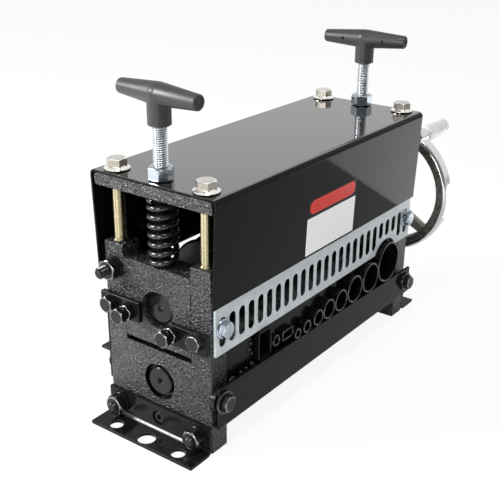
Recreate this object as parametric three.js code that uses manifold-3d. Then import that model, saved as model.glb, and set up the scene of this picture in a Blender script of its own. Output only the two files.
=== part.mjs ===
import * as THREE from "three";
import { mergeVertices } from "three/addons/utils/BufferGeometryUtils.js";
import Module from "manifold-3d";

// Millimetres. X runs along the shafts, +X toward the hand wheel. -Y is the feed side. +Z is up.
// Heights start at the underside of the feet. Lengths start at the outer face of the left end block.
const length = 332;
const blockThick = 20;
const blockHalfWidth = 56.3;
const tieRodHeight = 143;
const earAboveTieRod = 21.5;
const blockEarTop = tieRodHeight + earAboveTieRod;
const slotFloor = 79.2;
const slotHalfWidth = 35.8;
const gap = 0.3;
// Places along the shafts are given on a 332 mm machine and spread with its length.
const along = (x) => (x * length) / 332;

const lowerShaftHeight = 49.3;
const upperShaftHeight = 116.1;
const shaftRadius = 12.5;
const bushingRadius = 16;
const lowerBushingRecess = 5;
const upperBushingRecess = 7;
const shaftRecess = 4;

const sliderThick = 24;
const sliderBottom = 83.6;
const sliderTop = 154;
const sliderHalfWidth = slotHalfWidth - gap;

const leftInset = 10.3;
const leftPillarInset = 9;
const rightInset = 13.5;
const coverBoltSpread = 46;
const coverHalfTop = 64.9;
const topPlateHalfWidth = coverHalfTop - 4.3;
const topPlateDepth = 26;
const topPlateRound = 3.2;
const pillarRadius = 5.2;
const topPlateThick = 10.3;
const coverTop = 225.3;
const coverSheet = 2;
const coverLeftEnd = -3.2;
const coverRightEnd = length - 2.7;
const coverHalfBottom = 61.6;
const coverFrontBottom = 135;
const coverRearBottom = 128.8;
const coverBend = 5;

const screwRadius = 6;
const nutAcross = 18;
const nutHeight = 10.8;
const handleHeight = 292.2;
const screwTop = handleHeight - 9.2;
const screwBottom = upperShaftHeight + bushingRadius + 6.4;
const handleHalf = 42.5;
const handleMidRadius = 9.4;
const handleEndRadius = 6.2;
const stemRadius = 9.1;
const stemBottom = handleHeight - 23.6;
const leftHandleYaw = 5.1;
const rightHandleYaw = -7.2;

const springWire = 4.9;
const springOuter = 25.6;
const springCurls = 7.4;
const springSteps = 8;
const springSides = 5;

const footReach = 27.7;
const footRise = 26.8;
const footSheet = 3;
const footBend = 3.2;
const footHoleReach = 18.7;
const footHoleSpread = 35;
const footHoleRadius = 6.2;
const footMiddleRadius = 8;
const footSightRadius = 6.6;
const footBoltSpread = 43.4;
const footBoltHeight = 15;

const guardBottom = 90.8;
const guardTop = 141;
const guardSheet = 2;
const guardLeft = 2.4;
const guardRight = length - 2.4;
const guardSlots = 25;
const guardFirstSlot = 11.6;
const guardPitch = (length - 2 * guardFirstSlot - 0.16) / (guardSlots - 1);
const guardSlotWide = 7.9;
const guardSlotBottom = 97.6;
const guardSlotTop = 123.6;
const guardShortSlots = 3;
const guardShortFirst = 20;
const guardShortBottom = 106.5;
const guardNotchRadius = 24.2;
const guardBoltHeight = 113.8;

const panelSheet = 3;
const panelBottom = 50;
const panelTop = 93.5;
const tubeMouth = -64;
const shortTubeMouth = -61.2;
const tubeInner = -44;
const tubeWall = 1.8;
const smallestTube = 5;
const tallTubeX = along(66.2);
const flatTubeX = along(101.4);
const firstTubeX = along(113.7);
const spareTubeX = along(83.8);
const spareTubeRadius = 5.4;

const skirtSheet = 2.4;
const skirtFace = -64;
const skirtBottom = 27;
const skirtLeftTop = 64.7;
const skirtSlope = 0.027;
const skirtFlange = 14;
const skirtRight = length - 2.5;
const skirtBolts = { left: { x: 5.5, z: 51.5 }, right: { x: length - 11.7, z: 42 } };

const rearSheet = 2.4;
const rearBottom = 32;
const rearTop = 116;
const rearWindowBottom = 63;
const rearWindowTop = 106;
const rearLipHeight = 59.4;
const rearLipReach = 10;
const rearBoltHeight = 46.8;

const retainerThick = 5;
const retainerTall = 18.4;
const retainerPlaces = {
  front: { inner: 15.6, outer: 55.4, middle: 102.3, boltY: 46.5, boltZ: 105.5, jackY: 21, jackZ: 104.2 },
  rear: { inner: 15.6, outer: 58.9, middle: 110.5, boltY: 47.5, boltZ: 111.3, jackY: 27.3, jackZ: 109.5 },
};
const jackReach = 20;
const tieRodSpread = 45.6;

const rollerRadius = 26;
const rollerLeft = tallTubeX - 10.2;
const rollerRight = length - sliderThick;
const bladeRadius = 40.3;
const bladeHub = 17;
const bladeThick = 3;

const wheelX = length + 62.7;
const wheelOuter = 73;
const rimInner = wheelOuter - 12.4;
const rimHalf = 8.3;
const rimOuterRound = 4;
const rimInnerRound = 2.5;
const spokeCount = 3;
const spokeAngle = 221;
const spokeWide = 13;
const spokeThick = 8;
const spokeDish = 0.326;
const spokeFace = wheelX - 6.7;
const gripAngle = 115.5;
const gripOrbit = wheelOuter - 3.5;
const bossRadius = 9.2;
const bossLeft = wheelX - 8.4;
const bossRight = wheelX + 9.8;
const gripRadius = 9.4;
const gripLeft = wheelX + 14.3;
const gripRight = wheelX + 62.3;
const hubRadius = 18;
const hubLeft = wheelX - 26.7;
const hubRight = wheelX - 2.7;
const shaftNeck = 10;
const shaftEnd = wheelX + 7.3;
const wheelNutAcross = 24;

const wasm = await Module();
wasm.setup();

const half = length / 2;
const group = new THREE.Group();
group.name = "hand_crank_wire_stripper";

function paint(color, metalness, roughness) {
  return new THREE.MeshStandardMaterial({ color, metalness, roughness });
}

function place(geometry, x, y, z) {
  return geometry.translate(x - half, y, z);
}

function solid(geometry) {
  const bare = geometry.clone();
  bare.deleteAttribute("normal");
  bare.deleteAttribute("uv");
  const merged = mergeVertices(bare, 1e-4);
  return new wasm.Manifold(new wasm.Mesh({
    numProp: 3,
    vertProperties: new Float32Array(merged.attributes.position.array),
    triVerts: new Uint32Array(merged.index.array),
  }));
}

function asSolid(item) {
  return item.isBufferGeometry ? solid(item) : item;
}

function join(first, ...rest) {
  let sum = asSolid(first);
  for (const item of rest) sum = sum.add(asSolid(item));
  return sum;
}

function cut(first, ...rest) {
  let left = asSolid(first);
  for (const item of rest) left = left.subtract(asSolid(item));
  return left;
}

function add(name, item, material) {
  let geometry = item;
  if (!item.isBufferGeometry) {
    const out = item.getMesh();
    geometry = new THREE.BufferGeometry();
    geometry.setAttribute("position", new THREE.BufferAttribute(new Float32Array(out.vertProperties), 3));
    geometry.setIndex(new THREE.BufferAttribute(new Uint32Array(out.triVerts), 1));
  } else {
    geometry = item.clone();
    geometry.deleteAttribute("normal");
    geometry.deleteAttribute("uv");
    geometry = mergeVertices(geometry, 1e-4);
  }
  geometry.computeVertexNormals();
  const mesh = new THREE.Mesh(geometry, material);
  mesh.name = name;
  group.add(mesh);
  return mesh;
}

function box(x0, x1, y0, y1, z0, z1) {
  const made = new THREE.BoxGeometry(x1 - x0, y1 - y0, z1 - z0);
  return place(made, (x0 + x1) / 2, (y0 + y1) / 2, (z0 + z1) / 2);
}

function rodX(radius, x0, x1, y, z, sides = 20) {
  const made = new THREE.CylinderGeometry(radius, radius, x1 - x0, sides);
  return place(made.rotateZ(-Math.PI / 2), (x0 + x1) / 2, y, z);
}

function rodY(radius, x, y0, y1, z, sides = 20) {
  const made = new THREE.CylinderGeometry(radius, radius, y1 - y0, sides);
  return place(made, x, (y0 + y1) / 2, z);
}

function rodZ(radius, x, y, z0, z1, sides = 20) {
  const made = new THREE.CylinderGeometry(radius, radius, z1 - z0, sides);
  return place(made.rotateX(Math.PI / 2), x, y, (z0 + z1) / 2);
}

function hexZ(across, x, y, z0, z1, yaw = 0) {
  const made = new THREE.CylinderGeometry(across / Math.sqrt(3), across / Math.sqrt(3), z1 - z0, 6);
  made.rotateX(Math.PI / 2).rotateZ(THREE.MathUtils.degToRad(yaw - 30));
  return place(made, x, y, (z0 + z1) / 2);
}

function hexX(across, x0, x1, y, z, roll = 0) {
  const made = new THREE.CylinderGeometry(across / Math.sqrt(3), across / Math.sqrt(3), x1 - x0, 6);
  made.rotateZ(-Math.PI / 2).rotateX(THREE.MathUtils.degToRad(roll));
  return place(made, (x0 + x1) / 2, y, z);
}

function hexY(across, x, y0, y1, z, roll = 0) {
  const made = new THREE.CylinderGeometry(across / Math.sqrt(3), across / Math.sqrt(3), y1 - y0, 6);
  made.rotateY(THREE.MathUtils.degToRad(roll));
  return place(made, x, (y0 + y1) / 2, z);
}

function outline(points) {
  return new THREE.Shape(points.map(([u, v]) => new THREE.Vector2(u, v)));
}

function slabX(shape, x0, x1, curveSegments = 8) {
  const made = new THREE.ExtrudeGeometry(shape, { depth: x1 - x0, bevelEnabled: false, curveSegments });
  made.rotateX(Math.PI / 2).rotateZ(Math.PI / 2);
  return place(made, x0, 0, 0);
}

function slabY(shape, yBack, depth, curveSegments = 8) {
  const made = new THREE.ExtrudeGeometry(shape, { depth, bevelEnabled: false, curveSegments });
  made.rotateX(Math.PI / 2);
  return place(made, 0, yBack, 0);
}

function slabZ(shape, z0, z1, curveSegments = 8) {
  const made = new THREE.ExtrudeGeometry(shape, { depth: z1 - z0, bevelEnabled: false, curveSegments });
  return place(made, 0, 0, z0);
}

function roundedRect(u0, u1, v0, v1, radius, first = radius) {
  const shape = new THREE.Shape();
  shape.moveTo(u0 + first, v0);
  shape.lineTo(u1 - radius, v0);
  shape.absarc(u1 - radius, v0 + radius, radius, -Math.PI / 2, 0);
  shape.lineTo(u1, v1 - radius);
  shape.absarc(u1 - radius, v1 - radius, radius, 0, Math.PI / 2);
  shape.lineTo(u0 + radius, v1);
  shape.absarc(u0 + radius, v1 - radius, radius, Math.PI / 2, Math.PI);
  shape.lineTo(u0, v0 + first);
  shape.absarc(u0 + first, v0 + first, first, Math.PI, Math.PI * 1.5);
  return shape;
}

function turned(profile, sides) {
  const made = new THREE.LatheGeometry(profile.map(([r, s]) => new THREE.Vector2(r, s)), sides);
  return made.rotateZ(-Math.PI / 2);
}

const hammered = () => paint(0x303236, 0.3, 0.55);
const blackGloss = () => paint(0x0c0d0f, 0.2, 0.18);
const blackSheet = () => paint(0x1a1b1e, 0.3, 0.35);
const zinc = () => paint(0xc9ccd0, 0.9, 0.35);
const yellowZinc = () => paint(0xcdb98a, 0.85, 0.35);
const darkSteel = () => paint(0x3b3d40, 0.8, 0.4);
const bareSteel = () => paint(0x9a9da0, 0.9, 0.35);

// One entry per end. out is the outer face, dir points away from the machine,
// axisX is where the adjusting screw stands, pillarX where the cover bolts stand.
const ends = [
  { side: "left", out: 0, dir: -1, axisX: leftInset, pillarX: leftPillarInset, coverEnd: coverLeftEnd },
  { side: "right", out: length, dir: 1, axisX: length - rightInset, pillarX: length - rightInset, coverEnd: coverRightEnd },
];
const faces = [
  { side: "front", y: -1 },
  { side: "rear", y: 1 },
];

function span(end, near, far) {
  const a = end.out + end.dir * near;
  const b = end.out + end.dir * far;
  return [Math.min(a, b), Math.max(a, b)];
}

function threadedBoltX(end, y, z, washerRadius, washerThick, across, nutThick, stud, reach, depth, base) {
  const washer = rodX(washerRadius, ...span(end, base, base + washerThick), y, z, 16);
  const nut = hexX(across, ...span(end, base + washerThick - 0.1, base + washerThick + nutThick), y, z, 12);
  const shank = rodX(stud, ...span(end, -depth, reach), y, z, 10);
  return join(washer, nut, shank);
}

// End blocks: thick plates with a U slot for the slider and a bore for the lower shaft.
for (const end of ends) {
  const w = blockHalfWidth;
  const s = slotHalfWidth;
  const shape = outline([
    [-w, 0], [w, 0], [w, blockEarTop], [s, blockEarTop],
    [s, slotFloor], [-s, slotFloor], [-s, blockEarTop], [-w, blockEarTop],
  ]);
  const [x0, x1] = span(end, -blockThick, 0);
  const lowerBore = rodX(bushingRadius + gap, x0 - 1, x1 + 1, 0, lowerShaftHeight, 22);
  const holes = [lowerBore];
  for (const y of [-footBoltSpread, footBoltSpread]) {
    holes.push(rodX(5 + gap, ...span(end, -15, 1), y, footBoltHeight, 10));
  }
  holes.push(rodX(5.4, ...span(end, -12, 1), 0, footBoltHeight, 10));
  for (const face of faces) {
    const spot = retainerPlaces[face.side];
    holes.push(rodX(4 + gap, ...span(end, -14, 1), face.y * spot.boltY, spot.boltZ, 10));
    holes.push(rodZ(pillarRadius + gap, end.pillarX, face.y * coverBoltSpread, blockEarTop - 14.5, blockEarTop + 1, 12));
  }
  holes.push(rodX(5 + gap, x0 - 1, x1 + 1, tieRodSpread, tieRodHeight, 10));
  const guardX = end.dir < 0 ? guardFirstSlot : guardFirstSlot + guardPitch * (guardSlots - 1);
  holes.push(rodY(4 + gap, guardX, -w - 1, -w + 13, guardBoltHeight, 10));
  const skirtBolt = skirtBolts[end.side];
  holes.push(rodY(4 + gap, skirtBolt.x, -w - 1, -w + 13, skirtBolt.z, 10));
  holes.push(rodY(4 + gap, end.dir < 0 ? 9 : length - 9, w - 13, w + 1, rearBoltHeight, 10));
  add(`${end.side}_end_block`, cut(slabX(shape, x0, x1), ...holes), hammered());
}

// Feet: bent angle brackets with three bench holes each.
for (const end of ends) {
  const near = gap;
  const rise = footSheet + near;
  const foot = [];
  const arcSteps = 4;
  const outerBend = footBend + footSheet;
  foot.push([near, footRise], [near, outerBend]);
  for (let i = 1; i <= arcSteps; i += 1) {
    const a = (i / arcSteps) * Math.PI / 2;
    foot.push([near + outerBend * (1 - Math.cos(a)), outerBend * (1 - Math.sin(a))]);
  }
  foot.push([footReach, 0], [footReach, footSheet], [rise + footBend, footSheet]);
  for (let i = 1; i <= arcSteps; i += 1) {
    const a = (i / arcSteps) * Math.PI / 2;
    foot.push([rise + footBend * (1 - Math.sin(a)), footSheet + footBend * (1 - Math.cos(a))]);
  }
  foot.push([rise, footRise]);
  const shape = outline(foot.map(([u, v]) => [end.out + end.dir * u, v]));
  const body = slabY(shape, blockHalfWidth, 2 * blockHalfWidth);
  const holes = [];
  for (const y of [-footHoleSpread, 0, footHoleSpread]) {
    const radius = y === 0 ? footMiddleRadius : footHoleRadius;
    holes.push(rodZ(radius, end.out + end.dir * footHoleReach, y, -1, footSheet + 1, 16));
  }
  for (const y of [-footBoltSpread, footBoltSpread]) {
    holes.push(rodX(5 + gap, ...span(end, -1, rise + 1), y, footBoltHeight, 10));
  }
  holes.push(rodX(footSightRadius, ...span(end, -1, rise + 1), 0, footBoltHeight, 14));
  add(`${end.side}_foot_bracket`, cut(body, ...holes), blackSheet());
  for (const face of faces) {
    const bolt = threadedBoltX(
      end, face.y * footBoltSpread, footBoltHeight, 9.6, 2.2, 16.4, 8, 5, 16.8, 14, rise + gap,
    );
    add(`${end.side}_${face.side}_foot_bolt`, bolt, darkSteel());
  }
}

// Top plates, cover and the long flange bolts that stand as pillars.
const plateTop = coverTop - coverSheet - gap;
const plateBottom = plateTop - topPlateThick;
for (const end of ends) {
  const edge = end.coverEnd - end.dir * gap;
  const [x0, x1] = [edge, edge - end.dir * topPlateDepth].sort((a, b) => a - b);
  const w = topPlateHalfWidth;
  const plate = slabX(roundedRect(-w, w, plateBottom, plateTop, topPlateRound, 0.8), x0, x1, 3);
  const holes = [rodZ(screwRadius + gap, end.axisX, 0, plateBottom - 1, plateTop + 1, 20)];
  for (const face of faces) {
    holes.push(rodZ(pillarRadius + gap, end.pillarX, face.y * coverBoltSpread, plateBottom - 1, plateTop + 1, 12));
  }
  add(`${end.side}_top_plate`, cut(plate, ...holes), hammered());
}

const boltYaw = { left_front: 17, left_rear: 28, right_front: 11, right_rear: 18 };
for (const end of ends) {
  for (const face of faces) {
    const name = `${end.side}_${face.side}`;
    const x = end.pillarX;
    const y = face.y * coverBoltSpread;
    const profile = [[0, 0], [10.4, 0], [10.9, 0.8], [10.4, 1.8], [7.4, 3.4], [0, 3.4]];
    const flange = new THREE.LatheGeometry(profile.map(([r, s]) => new THREE.Vector2(r, s)), 16);
    flange.rotateX(Math.PI / 2);
    place(flange, x, y, coverTop + gap);
    const hex = hexZ(15, x, y, coverTop + gap + 1.5, coverTop + gap + 9.4, boltYaw[name]);
    const shank = rodZ(pillarRadius, x, y, blockEarTop - 13.5, coverTop + 1.5, 12);
    add(`${name}_cover_bolt`, join(flange, hex, shank), yellowZinc());
  }
}

// Cover: one bent sheet, open at both ends, its side walls leaning slightly inward.
{
  const section = [];
  const arcSteps = 4;
  const wall = (level, inner, sign) => {
    const t = (coverTop - level) / (coverTop - coverFrontBottom);
    return sign * (coverHalfTop + (coverHalfBottom - coverHalfTop) * t - inner);
  };
  section.push([wall(coverFrontBottom, 0, -1), coverFrontBottom]);
  for (let i = 0; i <= arcSteps; i += 1) {
    const a = (i / arcSteps) * Math.PI / 2;
    section.push([-coverHalfTop + coverBend * (1 - Math.cos(a)), coverTop - coverBend * (1 - Math.sin(a))]);
  }
  for (let i = arcSteps; i >= 0; i -= 1) {
    const a = (i / arcSteps) * Math.PI / 2;
    section.push([coverHalfTop - coverBend * (1 - Math.cos(a)), coverTop - coverBend * (1 - Math.sin(a))]);
  }
  section.push([wall(coverRearBottom, 0, 1), coverRearBottom]);
  section.push([wall(coverRearBottom, coverSheet, 1), coverRearBottom]);
  const innerHalf = coverHalfTop - coverSheet;
  const innerTop = coverTop - coverSheet;
  const innerBend = coverBend - coverSheet;
  for (let i = 0; i <= arcSteps; i += 1) {
    const a = (i / arcSteps) * Math.PI / 2;
    section.push([innerHalf - innerBend * (1 - Math.cos(a)), innerTop - innerBend * (1 - Math.sin(a))]);
  }
  for (let i = arcSteps; i >= 0; i -= 1) {
    const a = (i / arcSteps) * Math.PI / 2;
    section.push([-innerHalf + innerBend * (1 - Math.cos(a)), innerTop - innerBend * (1 - Math.sin(a))]);
  }
  section.push([wall(coverFrontBottom, coverSheet, -1), coverFrontBottom]);
  section.reverse();
  const sheet = slabX(outline(section), coverLeftEnd, coverRightEnd);
  const holes = [];
  for (const end of ends) {
    holes.push(rodZ(screwRadius + 1, end.axisX, 0, coverTop - 5, coverTop + 1, 20));
    for (const face of faces) {
      holes.push(rodZ(pillarRadius + gap, end.pillarX, face.y * coverBoltSpread, coverTop - 5, coverTop + 1, 12));
    }
  }
  add("cover", cut(sheet, ...holes), blackGloss());
}

// The round guide tubes stand on the sloping top edge of the lower front plate.
const skirtTopAt = (x) => skirtLeftTop - skirtSlope * x;
const tubes = [];
{
  const radii = [smallestTube, 6.2, 7.9, 9.9, 10.9, 13.8, 15.4, 21.1];
  const stations = [firstTubeX, ...[128.7, 147.6, 165.8, 187.6, 213.3, 244, 280].map(along)];
  for (let i = 0; i < radii.length; i += 1) {
    const x = stations[i];
    tubes.push({ x, z: skirtTopAt(x) + gap + radii[i], r: radii[i] });
  }
}
const largest = tubes[tubes.length - 1];

// Slotted guard with its notch over the largest guide tube.
{
  const shape = roundedRect(guardLeft, guardRight, guardBottom, guardTop, 1.2);
  for (let i = 0; i < guardSlots; i += 1) {
    const x = guardFirstSlot + guardPitch * i;
    const short = i >= guardShortFirst && i < guardShortFirst + guardShortSlots;
    const low = short ? guardShortBottom : guardSlotBottom;
    const wide = guardSlotWide / 2;
    const hole = new THREE.Path();
    hole.absarc(x, guardSlotTop - wide, wide, 0, Math.PI);
    hole.absarc(x, low + wide, wide, Math.PI, Math.PI * 2);
    hole.closePath();
    shape.holes.push(hole);
  }
  const guardBack = -blockHalfWidth - gap;
  const plate = slabY(shape, guardBack, guardSheet, 3);
  const notch = rodY(guardNotchRadius, largest.x, guardBack - guardSheet - 1, guardBack + 1, largest.z, 32);
  add("slotted_guard", cut(plate, notch), paint(0xb9bdc2, 0.85, 0.4));
  const face = guardBack - guardSheet - gap;
  for (const end of ends) {
    const x = end.dir < 0 ? guardFirstSlot : guardFirstSlot + guardPitch * (guardSlots - 1);
    const washer = rodY(8.6, x, face - 1.6, face, guardBoltHeight, 16);
    const hex = hexY(13, x, face - 6.8, face - 1.5, guardBoltHeight, 10);
    const shank = rodY(guardSlotWide / 2 - 0.35, x, face - 1, -blockHalfWidth + 11, guardBoltHeight, 10);
    add(`${end.side}_guard_bolt`, join(washer, hex, shank), zinc());
  }
}

// Feed panel: plate with guide tubes welded through it, small on the left to large on the right.
{
  const back = -blockHalfWidth + panelSheet;
  const pieces = [box(blockThick + gap, length - blockThick - gap, -blockHalfWidth, back, panelBottom, panelTop)];
  pieces.push(rodY(largest.r + 4, largest.x, -blockHalfWidth, back, largest.z, 28));
  const bores = [];
  for (const tube of tubes) {
    const sides = tube.r > 15 ? 22 : tube.r > 9 ? 16 : 10;
    pieces.push(rodY(tube.r, tube.x, tubeMouth, tubeInner, tube.z, sides));
    bores.push(rodY(tube.r - tubeWall, tube.x, tubeMouth - 1, tubeInner + 1, tube.z, sides));
  }
  const spare = (radius, y0, y1) => rodY(radius, spareTubeX, y0, y1, 71.8, 10);
  pieces.push(spare(spareTubeRadius, shortTubeMouth, tubeInner));
  bores.push(spare(spareTubeRadius - tubeWall, shortTubeMouth - 1, tubeInner + 1));
  const boxes = [
    { x: tallTubeX, z: 76.6, w: 19, h: 27.4 },
    { x: flatTubeX, z: 71.4, w: 17.6, h: 10 },
  ];
  for (const item of boxes) {
    const outerShape = roundedRect(item.x - item.w / 2, item.x + item.w / 2, item.z - item.h / 2, item.z + item.h / 2, 3);
    const inner = tubeWall;
    const boreShape = roundedRect(
      item.x - item.w / 2 + inner, item.x + item.w / 2 - inner,
      item.z - item.h / 2 + inner, item.z + item.h / 2 - inner, 1.6,
    );
    pieces.push(slabY(outerShape, tubeInner, tubeInner - shortTubeMouth, 2));
    bores.push(slabY(boreShape, tubeInner + 1, tubeInner - shortTubeMouth + 2, 2));
  }
  add("feed_panel", cut(join(...pieces), ...bores), blackSheet());
}

// Lower front plate: folded sheet held off the blocks by its bolts.
{
  const shape = outline([
    [0.5, skirtBottom], [skirtRight, skirtBottom], [skirtRight, skirtTopAt(skirtRight)], [0.5, skirtTopAt(0)],
  ]);
  const back = skirtFace + skirtSheet;
  const upright = slabY(shape, back, skirtSheet);
  const inward = Math.min(skirtFlange, -blockHalfWidth - gap - skirtFace);
  const flange = box(0.5, skirtRight, skirtFace, skirtFace + inward, skirtBottom, skirtBottom + skirtSheet);
  const heads = [];
  for (const end of ends) {
    const { x, z } = skirtBolts[end.side];
    heads.push(rodY(4 + gap, x, skirtFace - 1, back + 1, z, 10));
    const spacer = rodY(9.6, x, back + gap, -blockHalfWidth - gap, z, 16);
    const washer = rodY(10, x, skirtFace - gap - 2, skirtFace - gap, z, 16);
    const hex = hexY(13, x, skirtFace - gap - 7.3, skirtFace - gap - 1.9, z, 20);
    const shank = rodY(4, x, skirtFace - 3, -blockHalfWidth + 11, z, 10);
    add(`${end.side}_front_plate_bolt`, join(spacer, washer, hex, shank), darkSteel());
  }
  add("lower_front_plate", cut(join(upright, flange), ...heads), blackSheet());
}

// Rear exit plate: window for the slit cable and a lip under it.
{
  const front = blockHalfWidth + gap;
  const shape = roundedRect(1, length - 1, rearBottom, rearTop, 2);
  const window = roundedRect(32, length - 32, rearWindowBottom, rearWindowTop, 4);
  shape.holes.push(new THREE.Path(window.getPoints(4).reverse()));
  const sheet = slabY(shape, front + rearSheet, rearSheet, 4);
  const lip = box(1, length - 1, front + 1, front + rearSheet + rearLipReach, rearLipHeight - 1.2, rearLipHeight + 1.2);
  const holes = [];
  for (const end of ends) {
    const x = end.dir < 0 ? 9 : length - 9;
    holes.push(rodY(4 + gap, x, front - 1, front + rearSheet + 1, rearBoltHeight, 10));
    const base = front + rearSheet + gap;
    const dome = new THREE.LatheGeometry(
      [[0, 0], [7.6, 0], [7.6, 1.2], [5.6, 3.6], [0, 4.6]].map(([r, s]) => new THREE.Vector2(r, s)), 18,
    );
    place(dome, x, base, rearBoltHeight);
    const shank = rodY(4, x, blockHalfWidth - 11, base + 1, rearBoltHeight, 10);
    add(`${end.side}_rear_plate_bolt`, join(dome, shank), darkSteel());
  }
  add("rear_exit_plate", cut(join(sheet, lip), ...holes), blackSheet());
}

// Tie rod between the rear ears, nut and washer on both outer faces.
{
  const pieces = [rodX(5, -19.5, length + 19.5, tieRodSpread, tieRodHeight, 10)];
  for (const end of ends) {
    pieces.push(rodX(10, ...span(end, gap, gap + 2.4), tieRodSpread, tieRodHeight, 16));
    pieces.push(hexX(16.4, ...span(end, gap + 2.3, gap + 10.4), tieRodSpread, tieRodHeight, 20));
  }
  add("tie_rod", join(...pieces), darkSteel());
}

// Retainer plates across the slider edges, with a fixing bolt and a jack screw each.
for (const end of ends) {
  for (const face of faces) {
    const name = `${end.side}_${face.side}`;
    const spot = retainerPlaces[face.side];
    const ys = [face.y * spot.inner, face.y * spot.outer].sort((a, b) => a - b);
    const [x0, x1] = span(end, gap, gap + retainerThick);
    const plate = box(x0, x1, ys[0], ys[1], spot.middle - retainerTall / 2, spot.middle + retainerTall / 2);
    const jackY = face.y * spot.jackY;
    const boltY = face.y * spot.boltY;
    const holes = [
      rodX(4 + gap, x0 - 1, x1 + 1, jackY, spot.jackZ, 10),
      rodX(4 + gap, x0 - 1, x1 + 1, boltY, spot.boltZ, 10),
    ];
    add(`${name}_retainer`, cut(plate, ...holes), darkSteel());
    const outer = gap + retainerThick + gap;
    const washer = rodX(7.9, ...span(end, outer, outer + 1.2), boltY, spot.boltZ, 16);
    const head = hexX(13, ...span(end, outer + 1.1, outer + 6.6), boltY, spot.boltZ, 10);
    const shank = rodX(4, ...span(end, -13, outer + 1), boltY, spot.boltZ, 10);
    add(`${name}_retainer_bolt`, join(washer, head, shank), darkSteel());
    const nut = hexX(13, ...span(end, outer, outer + 5.6), jackY, spot.jackZ, 16);
    const screw = rodX(4, ...span(end, gap, jackReach - 2), jackY, spot.jackZ, 10);
    const knob = hexX(13, ...span(end, jackReach - 5.5, jackReach), jackY, spot.jackZ, 8);
    add(`${name}_jack_screw`, join(nut, screw, knob), darkSteel());
  }
}

// Lower shaft with its bushings and the grooved feed rollers.
for (const end of ends) {
  const [x0, x1] = span(end, -blockThick, -lowerBushingRecess);
  const ring = cut(
    rodX(bushingRadius, x0, x1, 0, lowerShaftHeight, 22),
    rodX(shaftRadius + gap, x0 - 1, x1 + 1, 0, lowerShaftHeight, 22),
  );
  add(`${end.side}_lower_bushing`, ring, darkSteel());
}
{
  const core = rodX(shaftRadius, 0.5, length - 0.5, 0, lowerShaftHeight, 22);
  const centres = [rodX(2.2, -1, 4, 0, lowerShaftHeight, 12), rodX(2.2, length - 4, length + 1, 0, lowerShaftHeight, 12)];
  add("feed_shaft", cut(core, ...centres), bareSteel());
}
const coreRadius = shaftRadius - 4;
const lanes = [tallTubeX, spareTubeX, flatTubeX, ...tubes.map((tube) => tube.x)];
{
  const profile = [[coreRadius, rollerLeft]];
  let last = rollerLeft;
  profile.push([rollerRadius, rollerLeft]);
  for (const lane of lanes) {
    const wide = lane === largest.x ? 15 : 5.4;
    const deep = lane === largest.x ? 11 : 5;
    if (lane - wide <= last) throw new Error("feed grooves run into each other");
    profile.push([rollerRadius, lane - wide], [rollerRadius - deep, lane], [rollerRadius, lane + wide]);
    last = lane + wide;
  }
  profile.push([rollerRadius, rollerRight], [coreRadius, rollerRight], [coreRadius, rollerLeft]);
  const roller = place(turned(profile, 14), 0, 0, lowerShaftHeight);
  const bore = rodX(shaftRadius + gap, rollerLeft - 1, rollerRight + 1, 0, lowerShaftHeight, 22);
  add("feed_roller_set", cut(roller, bore), darkSteel());
}

// Sliding head: two bearing sliders carried on the adjusting screws.
for (const end of ends) {
  const [x0, x1] = span(end, -sliderThick, 0);
  const body = box(x0, x1, -sliderHalfWidth, sliderHalfWidth, sliderBottom, sliderTop);
  const seat = rodZ(screwRadius + gap, end.axisX, 0, screwBottom - 0.5, sliderTop + 1, 20);
  const bore = rodX(bushingRadius + gap, x0 - 1, x1 + 1, 0, upperShaftHeight, 22);
  add(`${end.side}_slider`, cut(body, bore, seat), hammered());
  const [b0, b1] = span(end, -sliderThick, -upperBushingRecess);
  const ring = cut(
    rodX(bushingRadius, b0, b1, 0, upperShaftHeight, 22),
    rodX(shaftRadius + gap, b0 - 1, b1 + 1, 0, upperShaftHeight, 22),
  );
  add(`${end.side}_upper_bushing`, ring, darkSteel());
}

// Blade shaft: stepped, long enough on the right to carry the hand wheel.
{
  const seat = hubLeft;
  const shaft = join(
    rodX(shaftRadius, shaftRecess, length + 22, 0, upperShaftHeight, 22),
    rodX(shaftNeck, length + 21, seat - gap, 0, upperShaftHeight, 22),
    rodX(shaftNeck - 2, seat - gap - 1, shaftEnd, 0, upperShaftHeight, 22),
  );
  add("blade_shaft", cut(shaft, rodX(2.2, shaftRecess - 1, shaftRecess + 4, 0, upperShaftHeight, 12)), bareSteel());
  const profile = [[coreRadius, rollerLeft - 4], [bladeHub, rollerLeft - 4]];
  for (const lane of lanes) {
    profile.push([bladeHub, lane - bladeThick / 2], [bladeRadius, lane], [bladeHub, lane + bladeThick / 2]);
  }
  profile.push([bladeHub, rollerRight], [coreRadius, rollerRight], [coreRadius, rollerLeft - 4]);
  const blades = place(turned(profile, 14), 0, 0, upperShaftHeight);
  const bore = rodX(shaftRadius + gap, rollerLeft - 5, rollerRight + 1, 0, upperShaftHeight, 22);
  add("blade_set", cut(blades, bore), bareSteel());
}

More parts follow.
